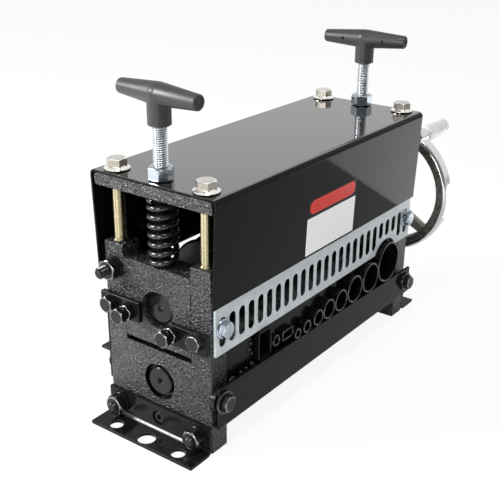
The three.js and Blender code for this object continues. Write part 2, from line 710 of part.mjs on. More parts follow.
// Hand wheel with three bar spokes, and its turning grip.
const gripTurn = THREE.MathUtils.degToRad(gripAngle);
const gripY = Math.cos(gripTurn) * gripOrbit;
const gripZ = upperShaftHeight + Math.sin(gripTurn) * gripOrbit;
{
  const outerMid = rimOuterRound * Math.SQRT1_2;
  const section = [
    [rimInner, rimHalf - rimInnerRound], [rimInner, rimInnerRound - rimHalf], [rimInner + rimInnerRound, -rimHalf],
    [wheelOuter - rimOuterRound, -rimHalf],
    [wheelOuter - rimOuterRound + outerMid, rimOuterRound - rimHalf - outerMid],
    [wheelOuter, rimOuterRound - rimHalf], [wheelOuter, rimHalf - rimOuterRound],
    [wheelOuter - rimOuterRound + outerMid, rimHalf - rimOuterRound + outerMid],
    [wheelOuter - rimOuterRound, rimHalf], [rimInner + rimInnerRound, rimHalf],
  ];
  section.push([...section[0]]);
  const rim = place(turned(section, 32), wheelX, 0, upperShaftHeight);
  const pieces = [rim, rodX(hubRadius, hubLeft, hubRight, 0, upperShaftHeight, 22)];
  const spokeLong = rimInner - 0.6;
  const dish = new THREE.Matrix4().set(1, spokeDish, 0, 0, 0, 1, 0, 0, 0, 0, 1, 0, 0, 0, 0, 1);
  for (let i = 0; i < spokeCount; i += 1) {
    const bar = new THREE.BoxGeometry(spokeThick, spokeLong, spokeWide);
    bar.translate(spokeThick / 2, spokeLong / 2 + 6 - rimInner, 0).applyMatrix4(dish).translate(0, rimInner, 0);
    bar.rotateX(THREE.MathUtils.degToRad(spokeAngle + i * (360 / spokeCount)));
    pieces.push(place(bar, spokeFace, 0, upperShaftHeight));
  }
  pieces.push(rodX(bossRadius, bossLeft, bossRight, gripY, gripZ, 22));
  const bores = [
    rodX(shaftNeck - 2 + gap, hubLeft - 1, hubRight + 1, 0, upperShaftHeight, 22),
    rodX(4 + gap, bossLeft - 1, bossRight + 1, gripY, gripZ, 16),
  ];
  add("hand_wheel", cut(join(...pieces), ...bores), paint(0xd5d7da, 1, 0.15));
}
{
  const seat = hubRight + gap;
  const nut = cut(
    hexX(wheelNutAcross, seat, seat + 8, 0, upperShaftHeight, 5),
    rodX(shaftNeck - 2 + gap, seat - 1, seat + 9, 0, upperShaftHeight, 22),
  );
  add("wheel_nut", nut, zinc());
  const pin = join(
    rodX(4, bossLeft - gap - 1, gripRight - 3.4, gripY, gripZ, 16),
    rodX(6.4, bossLeft - gap - 2.3, bossLeft - gap, gripY, gripZ, 18),
    rodX(6, gripRight - 4, gripRight - 1, gripY, gripZ, 18),
  );
  add("grip_pin", pin, zinc());
  const inner = 4 + 0.4;
  const grip = [
    [inner, gripLeft], [gripRadius - 1.2, gripLeft], [gripRadius, gripLeft + 1.4],
    [gripRadius + 0.3, (gripLeft + gripRight) / 2], [gripRadius, gripRight - 3.2], [gripRadius - 1.4, gripRight - 0.8],
    [gripRadius - 2.4, gripRight], [6.4, gripRight], [6.4, gripRight - 4.4], [inner, gripRight - 4.4],
    [inner, gripLeft],
  ];
  add("crank_grip", place(turned(grip, 16), 0, gripY, gripZ), paint(0xd8d8d6, 0, 0.5));
}

// Adjusting screws, lock nuts and T handles.
const nutYaw = { left: 18, right: 6 };
for (const end of ends) {
  const x = end.axisX;
  const yaw = THREE.MathUtils.degToRad(end.dir < 0 ? -leftHandleYaw : -rightHandleYaw);
  add(`${end.side}_adjusting_screw`, rodZ(screwRadius, x, 0, screwBottom, screwTop, 20), zinc());
  const nut = cut(
    hexZ(nutAcross, x, 0, coverTop + gap, coverTop + gap + nutHeight, nutYaw[end.side]),
    rodZ(screwRadius + gap, x, 0, coverTop - 1, coverTop + nutHeight + 2, 20),
  );
  add(`${end.side}_lock_nut`, nut, zinc());
  const bar = new THREE.LatheGeometry([
    [0, -handleHalf], [handleEndRadius - 1.4, -handleHalf], [handleEndRadius, -handleHalf + 1.4],
    [handleMidRadius, -6], [handleMidRadius, 6], [handleEndRadius, handleHalf - 1.4],
    [handleEndRadius - 1.4, handleHalf], [0, handleHalf],
  ].map(([r, s]) => new THREE.Vector2(r, s)), 16);
  bar.rotateZ(yaw);
  place(bar, x, 0, handleHeight);
  const stem = rodZ(stemRadius, x, 0, stemBottom, handleHeight, 22);
  const pits = [];
  for (const along of [-21, 21]) {
    const pit = new THREE.CylinderGeometry(1.3, 1.3, 8, 10).rotateZ(Math.PI / 2);
    pit.translate(end.dir < 0 ? 10.5 : -10.5, along, 0).rotateZ(yaw);
    pits.push(place(pit, x, 0, handleHeight));
  }
  const socket = rodZ(screwRadius + gap, x, 0, stemBottom - 1, screwTop + gap, 20);
  add(`${end.side}_t_handle`, cut(join(bar, stem), socket, ...pits), paint(0x3f4146, 0, 0.6));
}

// Springs: one unbroken wire each, standing on the slider around the screw.
class SpringPath extends THREE.Curve {
  constructor(radius, low, high, curls) {
    super();
    this.radius = radius;
    this.low = low;
    this.high = high;
    this.curls = curls;
  }

  rise(t) {
    const flat = 0.5 / this.curls;
    const ease = (s) => (s < flat ? (s * s) / (2 * flat) : s - flat / 2);
    const total = 1 - flat;
    return t < 0.5 ? ease(t) / total : 1 - ease(1 - t) / total;
  }

  getPoint(t, target = new THREE.Vector3()) {
    const a = t * this.curls * Math.PI * 2 + 0.6;
    return target.set(
      this.radius * Math.cos(a),
      this.radius * Math.sin(a),
      this.low + (this.high - this.low) * this.rise(t),
    );
  }
}

function leastGap(path, wire, curls) {
  const points = [];
  const count = Math.round(curls * 48);
  for (let i = 0; i <= count; i += 1) points.push(path.getPoint(i / count));
  let least = Infinity;
  for (let i = 0; i <= count; i += 1) {
    for (let j = i + 36; j <= count; j += 1) least = Math.min(least, points[i].distanceTo(points[j]));
  }
  return least - wire;
}

for (const end of ends) {
  const x = end.axisX;
  const low = sliderTop + gap + springWire / 2;
  const high = plateBottom - gap - springWire / 2;
  const path = new SpringPath((springOuter - springWire) / 2, low, high, springCurls);
  const ring = [];
  for (let i = 0; i < springSides; i += 1) {
    const a = (i / springSides) * Math.PI * 2;
    ring.push([Math.cos(a) * springWire / 2, Math.sin(a) * springWire / 2]);
  }
  const wire = new THREE.ExtrudeGeometry(outline(ring), {
    steps: Math.round(springCurls * springSteps), bevelEnabled: false, extrudePath: path,
  });
  add(`${end.side}_spring`, place(wire, x, 0, 0), blackSheet());
  console.log(`${end.side}_spring least gap to itself`, leastGap(path, springWire, springCurls).toFixed(2), "mm");
}

// The finished assembly stands on Z = 0 with its bounding box centred on X = 0 and Y = 0.
const bounds = new THREE.Box3().setFromObject(group);
const shiftX = -(bounds.min.x + bounds.max.x) / 2;
const shiftY = -(bounds.min.y + bounds.max.y) / 2;
for (const mesh of group.children) mesh.geometry.translate(shiftX, shiftY, -bounds.min.z);
console.log("left face at x", (shiftX - half).toFixed(3), "y shift", shiftY.toFixed(3), "z shift", (-bounds.min.z).toFixed(3));

export default group;
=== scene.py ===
import bpy
import bmesh
import math
import random
from mathutils import Matrix, Quaternion, Vector


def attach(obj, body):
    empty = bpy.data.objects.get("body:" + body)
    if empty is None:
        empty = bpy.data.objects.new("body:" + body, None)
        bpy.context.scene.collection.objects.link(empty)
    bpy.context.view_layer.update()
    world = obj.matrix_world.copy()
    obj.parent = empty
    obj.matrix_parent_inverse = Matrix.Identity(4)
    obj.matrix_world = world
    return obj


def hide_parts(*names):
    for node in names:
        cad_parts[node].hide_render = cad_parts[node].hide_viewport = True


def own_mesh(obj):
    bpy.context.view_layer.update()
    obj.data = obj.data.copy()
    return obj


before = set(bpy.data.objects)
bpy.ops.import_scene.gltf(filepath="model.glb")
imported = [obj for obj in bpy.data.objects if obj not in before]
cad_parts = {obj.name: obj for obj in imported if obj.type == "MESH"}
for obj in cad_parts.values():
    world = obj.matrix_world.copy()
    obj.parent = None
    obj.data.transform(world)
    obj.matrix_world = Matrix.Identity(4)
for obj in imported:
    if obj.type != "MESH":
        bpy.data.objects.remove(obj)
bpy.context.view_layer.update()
print("stage: frame loaded")

# Shapes are drawn in millimetres from the outer face of the left block, then brought into the shared frame.
machine = {"length": 332.0, "leftFace": -214.65, "blockThick": 20.0, "halfWidth": 56.3, "gap": 0.3,
           "coverTop": 225.3}
toFrame = Matrix.Scale(0.001, 4) @ Matrix.Translation((machine["leftFace"], 0, 0))
collection = bpy.context.scene.collection
pointing = {
    "x": Matrix.Rotation(math.pi / 2, 4, "Y"),
    "-x": Matrix.Rotation(-math.pi / 2, 4, "Y"),
    "y": Matrix.Rotation(-math.pi / 2, 4, "X"),
    "-y": Matrix.Rotation(math.pi / 2, 4, "X"),
    "z": Matrix.Identity(4),
}

# Camera
cameraSetup = {
    "azimuth": -53.70, "elevation": 22.99, "roll": 0.49, "focalPixels": 883.6, "imagePixels": 500,
    "place": (-0.6867, -0.4398, 0.4421), "sensor": 36.0,
}


def addCamera(setup):
    az, el, roll = (math.radians(setup[k]) for k in ("azimuth", "elevation", "roll"))
    back = Vector((math.sin(az) * math.cos(el), -math.cos(az) * math.cos(el), math.sin(el)))
    right = Vector((math.cos(az), math.sin(az), 0))
    up = back.cross(right)
    turnedRight = right * math.cos(roll) + up * math.sin(roll)
    turnedUp = up * math.cos(roll) - right * math.sin(roll)
    data = bpy.data.cameras.new("photoCamera")
    data.sensor_width = setup["sensor"]
    data.lens = setup["focalPixels"] / setup["imagePixels"] * setup["sensor"]
    data.clip_start, data.clip_end = 0.01, 60
    camera = bpy.data.objects.new("photoCamera", data)
    camera.matrix_world = Matrix.Translation(setup["place"]) @ Matrix(
        (turnedRight, turnedUp, back)
    ).transposed().to_4x4()
    collection.objects.link(camera)
    bpy.context.scene.camera = camera


addCamera(cameraSetup)
print("stage: camera set")


# Modelling helpers
def looseObject(bm, name="loose"):
    mesh = bpy.data.meshes.new(name)
    bm.to_mesh(mesh)
    bm.free()
    piece = bpy.data.objects.new(name, mesh)
    collection.objects.link(piece)
    return piece


def dropObject(piece):
    mesh = piece.data
    bpy.data.objects.remove(piece)
    bpy.data.meshes.remove(mesh)


def shaped(piece):  # the piece's mesh with its modifiers applied, as a bmesh
    bpy.context.view_layer.update()
    graph = bpy.context.evaluated_depsgraph_get()
    mesh = bpy.data.meshes.new_from_object(piece.evaluated_get(graph))
    bm = bmesh.new()
    bm.from_mesh(mesh)
    bpy.data.meshes.remove(mesh)
    return bm


def gather(*parts):
    whole = bmesh.new()
    for part in parts:
        mesh = bpy.data.meshes.new("part")
        part.to_mesh(mesh)
        part.free()
        whole.from_mesh(mesh)
        bpy.data.meshes.remove(mesh)
    return whole


def put(bm, axis="z", at=(0, 0, 0), roll=0.0):
    place = Matrix.Translation(at) @ pointing[axis] @ Matrix.Rotation(math.radians(roll), 4, "Z")
    bmesh.ops.transform(bm, matrix=place, verts=bm.verts)
    return bm


def drawnLine(bm, points):  # an open line of edges
    line = [bm.verts.new(point) for point in points]
    return line + [bm.edges.new(pair) for pair in zip(line, line[1:])]


def moveNew(bm, made, step):  # moves what an extrusion has just made
    bmesh.ops.translate(bm, vec=step, verts=[g for g in made["geom"] if isinstance(g, bmesh.types.BMVert)])


def turned(profile, axis="z", at=(0, 0, 0), steps=48):  # profile runs (radius, height)
    bm = bmesh.new()
    line = drawnLine(bm, [(radius, 0, height) for radius, height in profile])
    bmesh.ops.spin(bm, geom=line, cent=(0, 0, 0), axis=(0, 0, 1), angle=math.tau, steps=steps,
                   use_merge=True)
    bmesh.ops.remove_doubles(bm, verts=bm.verts, dist=0.002)
    bmesh.ops.recalc_face_normals(bm, faces=bm.faces)
    return put(bm, axis, at)


def rod(radius, low, high, axis="z", at=(0, 0, 0), steps=40, edge=0.4):
    profile = [
        (0, low), (radius - edge, low), (radius, low + edge),
        (radius, high - edge), (radius - edge, high), (0, high),
    ]
    return turned(profile, axis, at, steps)


def drill(radius, low, high, axis="z", at=(0, 0, 0), steps=24):  # a rod with sharp ends, to cut a hole
    return rod(radius, low, high, axis, at, steps, 0.01)


def bored(radius, hole, low, high, axis="z", at=(0, 0, 0), steps=48, edge=0.3):
    profile = [
        (hole + edge, low), (radius - edge, low), (radius, low + edge), (radius, high - edge),
        (radius - edge, high), (hole + edge, high), (hole, high - edge), (hole, low + edge),
        (hole + edge, low),
    ]
    return turned(profile, axis, at, steps)


def dished(flat, inner, outer, rise, axis, at, steps=48):  # the sunken top of a bolt head
    profile = [(0, 0), (flat, 0), (inner, rise), (outer, rise), (outer + 0.2, -0.4), (0, -0.4)]
    return turned(profile, axis, at, steps)


def soften(bm, width=0.5, angle=40, segments=2, chosen=lambda e: True):
    edges = [
        e for e in bm.edges
        if len(e.link_faces) == 2 and e.calc_face_angle() > math.radians(angle) and chosen(e)
    ]
    bmesh.ops.bevel(
        bm, geom=edges, offset=width, offset_type="OFFSET", segments=segments, profile=0.5,
        affect="EDGES", clamp_overlap=True, material=-1,
    )
    return bm


def slab(low, high, edge=0.6, segments=2):
    bm = bmesh.new()
    low, high = Vector(low), Vector(high)
    place = Matrix.Translation((low + high) / 2) @ Matrix.Diagonal((*(high - low), 1))
    bmesh.ops.create_cube(bm, size=1, matrix=place)
    return soften(bm, edge, 40, segments) if edge else bm


def rounded(low, high, axis, radius, edge=0.0, steps=8):  # a slab with its four edges along one axis rounded
    way = "xyz".index(axis)
    along = lambda e: abs(e.verts[0].co[way] - e.verts[1].co[way]) > 0.01
    bm = soften(slab(low, high, 0), radius, 40, steps, along)
    return soften(bm, edge, 60, 2) if edge else bm


def prism(points, low, high):  # a flat outline in Y and Z given a thickness along X
    bm = bmesh.new()
    face = bm.faces.new([bm.verts.new((low, *point)) for point in points])
    moveNew(bm, bmesh.ops.extrude_face_region(bm, geom=[face]), (high - low, 0, 0))
    bmesh.ops.recalc_face_normals(bm, faces=bm.faces)
    return bm


def foldedSheet(points, step, bend, steps, facing, thickness):  # a line drawn out, rounded and thickened
    bm = bmesh.new()
    drawnLine(bm, points)
    moveNew(bm, bmesh.ops.extrude_edge_only(bm, edges=bm.edges[:]), step)
    soften(bm, bend, 60, steps)
    bmesh.ops.recalc_face_normals(bm, faces=bm.faces)
    if sum(face.normal.dot(facing) * face.calc_area() for face in bm.faces) < 0:
        bmesh.ops.reverse_faces(bm, faces=bm.faces)
    bmesh.ops.solidify(bm, geom=bm.faces[:], thickness=thickness)
    return bm


def carve(bm, cutters, operation="DIFFERENCE"):
    body = looseObject(bm, "body")
    tool = looseObject(gather(*cutters), "tool")
    cut = body.modifiers.new("cut", "BOOLEAN")
    cut.object, cut.operation, cut.solver = tool, operation, "EXACT"
    if operation == "UNION":
        cut.use_self = True
    made = shaped(body)
    dropObject(body)
    dropObject(tool)
    return made


def fillEnds(bm):
    bmesh.ops.holes_fill(bm, edges=[e for e in bm.edges if e.is_boundary], sides=0)
    bmesh.ops.recalc_face_normals(bm, faces=bm.faces)


def threaded(radius, pitch, low, high, axis="z", at=(0, 0, 0), steps=18):
    root = radius - 0.54 * pitch
    tooth = [(root, 0), (radius, 0.38 * pitch), (radius, 0.5 * pitch), (root, 0.88 * pitch), (root, pitch)]
    bm = bmesh.new()
    line = drawnLine(bm, [(r, 0, low + s) for r, s in tooth])
    count = max(2, round(((high - low) / pitch - 1) * steps))
    bmesh.ops.spin(
        bm, geom=line, cent=(0, 0, 0), axis=(0, 0, 1), dvec=(0, 0, pitch / steps),
        angle=math.tau * count / steps, steps=count,
    )
    bmesh.ops.remove_doubles(bm, verts=bm.verts, dist=0.01)
    fillEnds(bm)
    if bm.calc_volume(signed=True) < 0:
        bmesh.ops.reverse_faces(bm, faces=bm.faces)
    return put(bm, axis, at)


def hexagon(across, height, axis="z", at=(0, 0, 0), roll=0.0, both=False, hole=0.0):  # a bolt head, or a nut
    flat, rim, slope = across / 2, 0.45 * across, math.tan(math.radians(30))
    foot = [(rim, 0), (flat, 1)] if both else [(flat, 0)]
    profile = [*foot, (flat, height - 1), (rim, height)]
    bm = turned([(hole, 0), *profile, (hole, height), (hole, 0)] if hole else profile, steps=60)
    if not hole:
        fillEnds(bm)
    outer = {v for v in bm.verts if v.co.xy.length > flat - 0.01}
    for vert in outer:  # the turned edge goes out to the six flats
        angle = (math.degrees(math.atan2(vert.co.y, vert.co.x)) + 30) % 60 - 30
        vert.co.xy /= math.cos(math.radians(angle))
        drop = (vert.co.xy.length - rim) * slope
        if vert.co.z > height / 2:
            vert.co.z = height - drop
        elif both:
            vert.co.z = drop
    bm.normal_update()
    flush = [e for e in bm.edges if set(e.verts) <= outer and e.calc_face_angle(1) < 0.01]
    bmesh.ops.dissolve_edges(bm, edges=flush, use_verts=False)
    bmesh.ops.recalc_face_normals(bm, faces=bm.faces)
    soften(bm, 0.18, 50, 1)
    return put(bm, axis, at, roll)


def cadName(name):  # leftLockNut becomes left_lock_nut
    return "".join("_" + letter.lower() if letter.isupper() else letter for letter in name)


# A piece comes as one shape, or as a list of parts that keep their normals. It stands for the CAD nodes
# given, or for the one it is named after. A patch is a look and a test of a face's middle and normal.
def finish(shape, name, look, body="frame", nodes=(), sharp=32, patches=()):
    bm = gather(*shape) if isinstance(shape, list) else shape
    bmesh.ops.remove_doubles(bm, verts=bm.verts, dist=0.0005)
    if not isinstance(shape, list):
        bmesh.ops.recalc_face_normals(bm, faces=bm.faces)
    for index, (_, test) in enumerate(patches, 1):
        for face in bm.faces:
            if test(face.calc_center_median(), face.normal):
                face.material_index = index
    bmesh.ops.transform(bm, matrix=toFrame, verts=bm.verts)
    piece = looseObject(bm, name)
    piece.data.shade_smooth()
    piece.data.set_sharp_from_angle(angle=math.radians(sharp))
    for item in (look, *[patch for patch, _ in patches]):
        piece.data.materials.append(looks[item])
    flatFaces = piece.modifiers.new("flatFaces", "WEIGHTED_NORMAL")
    flatFaces.keep_sharp = True
    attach(piece, body)
    nodes = nodes or [node for node in [cadName(name)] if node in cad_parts]
    if nodes:
        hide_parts(*nodes)
    return piece


# Materials
def wired(tree, kind, entries, **settings):  # a new node; an entry is a value or another node's output
    node = tree.nodes.new(kind)
    for key, value in settings.items():
        setattr(node, key, value)
    for key, value in entries.items():
        if isinstance(value, bpy.types.NodeSocket):
            tree.links.new(value, node.inputs[key])
        else:
            node.inputs[key].default_value = value
    return node


def surface(name, color, metallic=0.0, roughness=0.4, ior=1.5):
    material = bpy.data.materials.new(name)
    material.use_nodes = True
    entries = material.node_tree.nodes["Principled BSDF"].inputs
    entries["Base Color"].default_value = (*color, 1)
    entries["Metallic"].default_value = metallic
    entries["Roughness"].default_value = roughness
    entries["IOR"].default_value = ior
    return material, material.node_tree


def grain(tree, scale, detail=4.0, roughness=0.5, stretch=(1, 1, 1), cells=False):  # spots or cells
    place = wired(tree, "ShaderNodeTexCoord", {})
    mapping = wired(tree, "ShaderNodeMapping", {"Vector": place.outputs["Object"], "Scale": stretch})
    entries = {"Vector": mapping.outputs["Vector"], "Scale": scale}
    if cells:
        return wired(tree, "ShaderNodeTexVoronoi", entries).outputs["Distance"]
    entries |= {"Detail": detail, "Roughness": roughness}
    return wired(tree, "ShaderNodeTexNoise", entries).outputs["Fac"]


def vary(tree, pattern, entry, low, high, start=0.3, end=0.7):  # the pattern drives one entry of the surface
    ramp = wired(tree, "ShaderNodeValToRGB", {"Fac": pattern})
    for stop, place, value in zip(ramp.color_ramp.elements, (start, end), (low, high)):
        stop.position = place
        stop.color = (*value, 1) if hasattr(value, "__len__") else (value, value, value, 1)
    tree.links.new(ramp.outputs["Color"], tree.nodes["Principled BSDF"].inputs[entry])


def bump(tree, pattern, strength, distance, under=None):
    entries = {"Height": pattern, "Strength": strength, "Distance": distance}
    if under:
        entries["Normal"] = under
    node = wired(tree, "ShaderNodeBump", entries)
    tree.links.new(node.outputs["Normal"], tree.nodes["Principled BSDF"].inputs["Normal"])
    return node.outputs["Normal"]


def hammeredPaint(dark, light):
    material, tree = surface("hammeredPaint", dark, 0.0, 0.26)
    fine = grain(tree, 600, 3.0)
    vary(tree, fine, "Base Color", dark, light, 0.54, 0.74)
    vary(tree, grain(tree, 60, 3.0), "Roughness", 0.2, 0.32)
    dents = bump(tree, grain(tree, 520, cells=True), 0.9, 0.0014)
    bump(tree, fine, 0.9, 0.0012, dents)
    return material


def blackPaint(name, color, roughness, ripple=0.05, ior=1.5):
    material, tree = surface(name, color, 0.0, roughness, ior)
    vary(tree, grain(tree, 14, 3.0), "Roughness", roughness * 0.8, roughness * 1.3)
    vary(tree, grain(tree, 900, 6.0, 0.7), "Base Color", color, [c * 2.6 for c in color], 0.62, 0.8)
    bump(tree, grain(tree, 260, 2.0), ripple, 0.0004)
    return material


def platedSteel(name, color, roughness, scratch=0.12, stain=None, upright=0.0):
    material, tree = surface(name, color, 1.0, roughness)
    if upright:  # turned upright rods stretch a reflection along their axis
        axis = wired(tree, "ShaderNodeCombineXYZ", {"Z": 1})
        shader = tree.nodes["Principled BSDF"]
        tree.links.new(axis.outputs[0], shader.inputs["Tangent"])
        shader.inputs["Anisotropic"].default_value = upright
    lines = grain(tree, 300, stretch=(1, 1, 5))
    vary(tree, lines, "Roughness", roughness * 0.75, roughness * 1.5)
    vary(tree, grain(tree, 45, 5.0), "Base Color", stain or [c * 0.82 for c in color], color, 0.3, 0.62)
    bump(tree, lines, scratch, 0.0002)
    return material


def mouldedPlastic(name, color, roughness):
    material, tree = surface(name, color, 0.0, roughness, 1.47)
    rub = grain(tree, 40)
    vary(tree, rub, "Base Color", color, [min(1, c * 1.25) for c in color], 0.35, 0.75)
    vary(tree, rub, "Roughness", roughness * 0.9, roughness * 1.15)
    bump(tree, grain(tree, 1100, 3.0), 0.18, 0.0002)
    return material


def castGrey():
    material, tree = surface("castGrey", (0.08, 0.072, 0.065), 0.3, 0.45)
    grit = grain(tree, 380, 6.0)
    vary(tree, grit, "Base Color", (0.035, 0.03, 0.026), (0.13, 0.118, 0.105), 0.35, 0.68)
    bump(tree, grit, 0.5, 0.0006)
    return material


def galvanised(color):
    material, tree = surface("galvanisedSheet", color, 0.25, 0.42)
    spangle = grain(tree, 130, cells=True)
    vary(tree, spangle, "Base Color", [c * 1.04 for c in color], [c * 0.92 for c in color], 0.1, 0.9)
    vary(tree, grain(tree, 30, 5.0, stretch=(1, 1, 3)), "Roughness", 0.34, 0.5)
    bump(tree, spangle, 0.05, 0.0002)
    return material


def knurled():
    material, tree = surface("knurledSteel", (0.22, 0.22, 0.23), 1.0, 0.38)
    teeth = grain(tree, 700, cells=True)
    vary(tree, teeth, "Base Color", (0.12, 0.12, 0.125), (0.36, 0.36, 0.37), 0.1, 0.7)
    bump(tree, teeth, 0.8, 0.0006)
    return material


looks = {
    "hammered": hammeredPaint((0.004, 0.0043, 0.005), (0.11, 0.113, 0.12)),
    # painted reflection: two copies of the cover's gloss paint, the walls with a low reflectance that keeps
    # their reflection dark, and the top with a lighter base and a far higher reflectance that gives it a
    # grey reflection
    "cover": blackPaint("coverGloss", (0.003, 0.003, 0.0034), 0.05, 0.02, 1.18),
    "coverTop": blackPaint("coverTopGloss", (0.0055, 0.0055, 0.006), 0.06, 0.02, 2.4),
    "sheet": blackPaint("sheetBlack", (0.005, 0.005, 0.0055), 0.14, 0.1, 1.22),
    "lowerSheet": blackPaint("lowerSheetBlack", (0.006, 0.006, 0.0065), 0.09, 0.05, 1.2),
    # painted highlight: a lighter, glossier black for the tube mouths, which shows as thin bright rims
    "rim": blackPaint("rimHighlightBlack", (0.022, 0.022, 0.025), 0.14, 0.1, 1.9),
    "panel": blackPaint("panelBlack", (0.003, 0.003, 0.0035), 0.2, 0.2, 1.2),
    "springWire": blackPaint("springWire", (0.007, 0.007, 0.007), 0.16, 0.1, 1.5),
    "guard": galvanised((0.50, 0.545, 0.56)),
    "zinc": platedSteel("zincPlate", (0.58, 0.61, 0.65), 0.16, 0.05),
    "boltZinc": platedSteel("boltZinc", (0.58, 0.56, 0.52), 0.17, 0.05),
    # painted light on the cover bolts: a brighter copy of the bolt zinc is a painted highlight on the
    # chamfers, a darker copy is painted shade on the flats
    "boltEdgeHighlight": platedSteel("boltEdgeHighlight", (0.88, 0.87, 0.84), 0.16, 0.02),
    "boltSideShade": platedSteel("boltSideShade", (0.30, 0.28, 0.24), 0.2, 0.05),
    "screwZinc": platedSteel("screwZinc", (0.86, 0.88, 0.90), 0.26, 0.03, None, 0.85),
    "zincSide": platedSteel("zincSide", (0.40, 0.45, 0.50), 0.17, 0.05),
    # painted shade: a darker copy of the screw zinc for the lower flanks of the thread
    "threadShade": platedSteel("threadShade", (0.40, 0.42, 0.45), 0.3, 0.05),
    # painted highlight: a lighter metal for the inner bend of the feet, standing in for the highlight along
    # it
    "foldPaintedHighlight": platedSteel("foldPaintedHighlight", (0.19, 0.18, 0.19), 0.4, 0.1),
    "yellowZinc": platedSteel("yellowZinc", (0.36, 0.31, 0.20), 0.28, 0.02, (0.28, 0.27, 0.15), 0.9),
    "blackSteel": blackPaint("blackenedSteel", (0.006, 0.006, 0.007), 0.17, 0.2, 1.32),
    # worn paint and painted highlight: a lighter bare metal for the chamfers of black bolts and nuts, both
    # wear and a painted highlight on their edges
    "wornEdgeAndHighlight": platedSteel("wornEdgeAndHighlight", (0.20, 0.20, 0.215), 0.2, 0.05),
    "bareSteel": platedSteel("bareSteel", (0.24, 0.24, 0.25), 0.3),
    # painted shade: the disc blades are darkened to near black, standing in for the shade inside the machine
    "blade": platedSteel("shadedBladeSteel", (0.05, 0.05, 0.053), 0.3),
    "roller": knurled(),
    "chrome": platedSteel("wheelChrome", (0.68, 0.69, 0.71), 0.14, 0.05),
    "spokeGrey": platedSteel("spokeGrey", (0.34, 0.32, 0.29), 0.4, 0.2),
    "cast": castGrey(),
    "grip": mouldedPlastic("gripPlastic", (0.66, 0.66, 0.67), 0.38),
    "handle": mouldedPlastic("handlePlastic", (0.012, 0.012, 0.0135), 0.43),
    "plateWhite": blackPaint("plateWhite", (0.80, 0.80, 0.79), 0.3, 0.02, 1.3),
    "plateRed": blackPaint("plateRed", (0.58, 0.025, 0.015), 0.3, 0.02, 1.25),
}
print("stage: materials made")

ends = {
    "left": {"out": 0.0, "dir": -1, "axis": "-x", "screw": 10.3, "pillar": 9.0, "plate": (-2.9, 23.1)},
    "right": {"out": machine["length"], "dir": 1, "axis": "x", "screw": 318.5, "pillar": 318.5,
              "plate": (303.0, 329.0)},
}
faces = {"front": -1, "rear": 1}


def reach(side, near, far):  # two lengths measured outwards from an end face, as low and high X
    return sorted(ends[side]["out"] + ends[side]["dir"] * length for length in (near, far))


# End blocks
blocks = {
    "earTop": 164.5, "slotFloor": 79.2, "slotHalf": 35.8, "edge": 0.9, "lowerShaft": 49.3,
    "upperShaft": 116.1, "bushing": 16.0, "footBoltY": 43.4, "footBoltZ": 15.0, "tieRod": (45.6, 143.0),
    "coverBoltY": 46.0,
}
retainers = {
    "front": {"inner": 15.6, "outer": 55.4, "middle": 102.3, "bolt": (46.5, 105.5), "jack": (21.0, 104.2),
              "roll": 10},
    "rear": {"inner": 15.6, "outer": 58.9, "middle": 110.5, "bolt": (47.5, 111.3), "jack": (27.3, 109.5),
             "roll": 34},
    "tall": 18.4, "thick": 5.0,
}
# Radii of the holes for bolts of 8 and 10 millimetres and for the adjusting screws
holes = {"small": 4.3, "medium": 5.3, "wide": 5.5, "screw": 6.3}


def endBlock(side, b):
    w, s = machine["halfWidth"], b["slotHalf"]
    x0, x1 = reach(side, -machine["blockThick"], 0)
    bm = prism([
        (-w, 0), (w, 0), (w, b["earTop"]), (s, b["earTop"]), (s, b["slotFloor"]),
        (-s, b["slotFloor"]), (-s, b["earTop"]), (-w, b["earTop"]),
    ], x0, x1)
    inSlot = lambda e: all(abs(v.co.y) < s + 1 and v.co.z < b["earTop"] - 1 for v in e.verts)
    soften(bm, b["edge"], 40, 3, lambda e: not inSlot(e))
    soften(bm, 0.3, 40, 2, inSlot)
    out, axis = ends[side]["out"], ends[side]["axis"]
    cutters = [
        drill(b["bushing"] + 0.3, x0 - 1, x1 + 1, "x", (0, 0, b["lowerShaft"]), 72),
        drill(holes["medium"], x0 - 1, x1 + 1, "x", (0, *b["tieRod"])),
        drill(5.4, -12, 1, axis, (out, 0, b["footBoltZ"])),
    ]
    for face, turn in faces.items():
        boltY, boltZ = retainers[face]["bolt"]
        cutters += [
            drill(holes["medium"], -15, 1, axis, (out, turn * b["footBoltY"], b["footBoltZ"])),
            drill(holes["small"], -14, 1, axis, (out, turn * boltY, boltZ)),
            drill(holes["wide"], 150, 166, "z", (ends[side]["pillar"], turn * b["coverBoltY"], 0)),
        ]

    # painted shade: the floor of the slot under the slider and the bore round the bushing take the plain
    # black panel paint instead of the speckled hammered paint
    def shadedHollows(c, n):  # the floor of the slot and the bore of the bushing
        inBore = math.hypot(c.y, c.z - b["lowerShaft"]) < b["bushing"] + 0.6
        return inBore or n.z > 0.9 and abs(c.z - b["slotFloor"]) < 0.4

    finish(carve(bm, cutters), side + "EndBlock", "hammered", patches=[("panel", shadedHollows)])


for side in ends:
    endBlock(side, blocks)
print("stage: end blocks made")

# Feet
feet = {"reach": 27.7, "rise": 26.8, "sheet": 3.0, "bend": 6.2, "holeReach": 18.7, "sightHole": 6.6,
        "holes": {-35.0: 6.2, 0.0: 8.0, 35.0: 6.2}, "shine": 46.0}


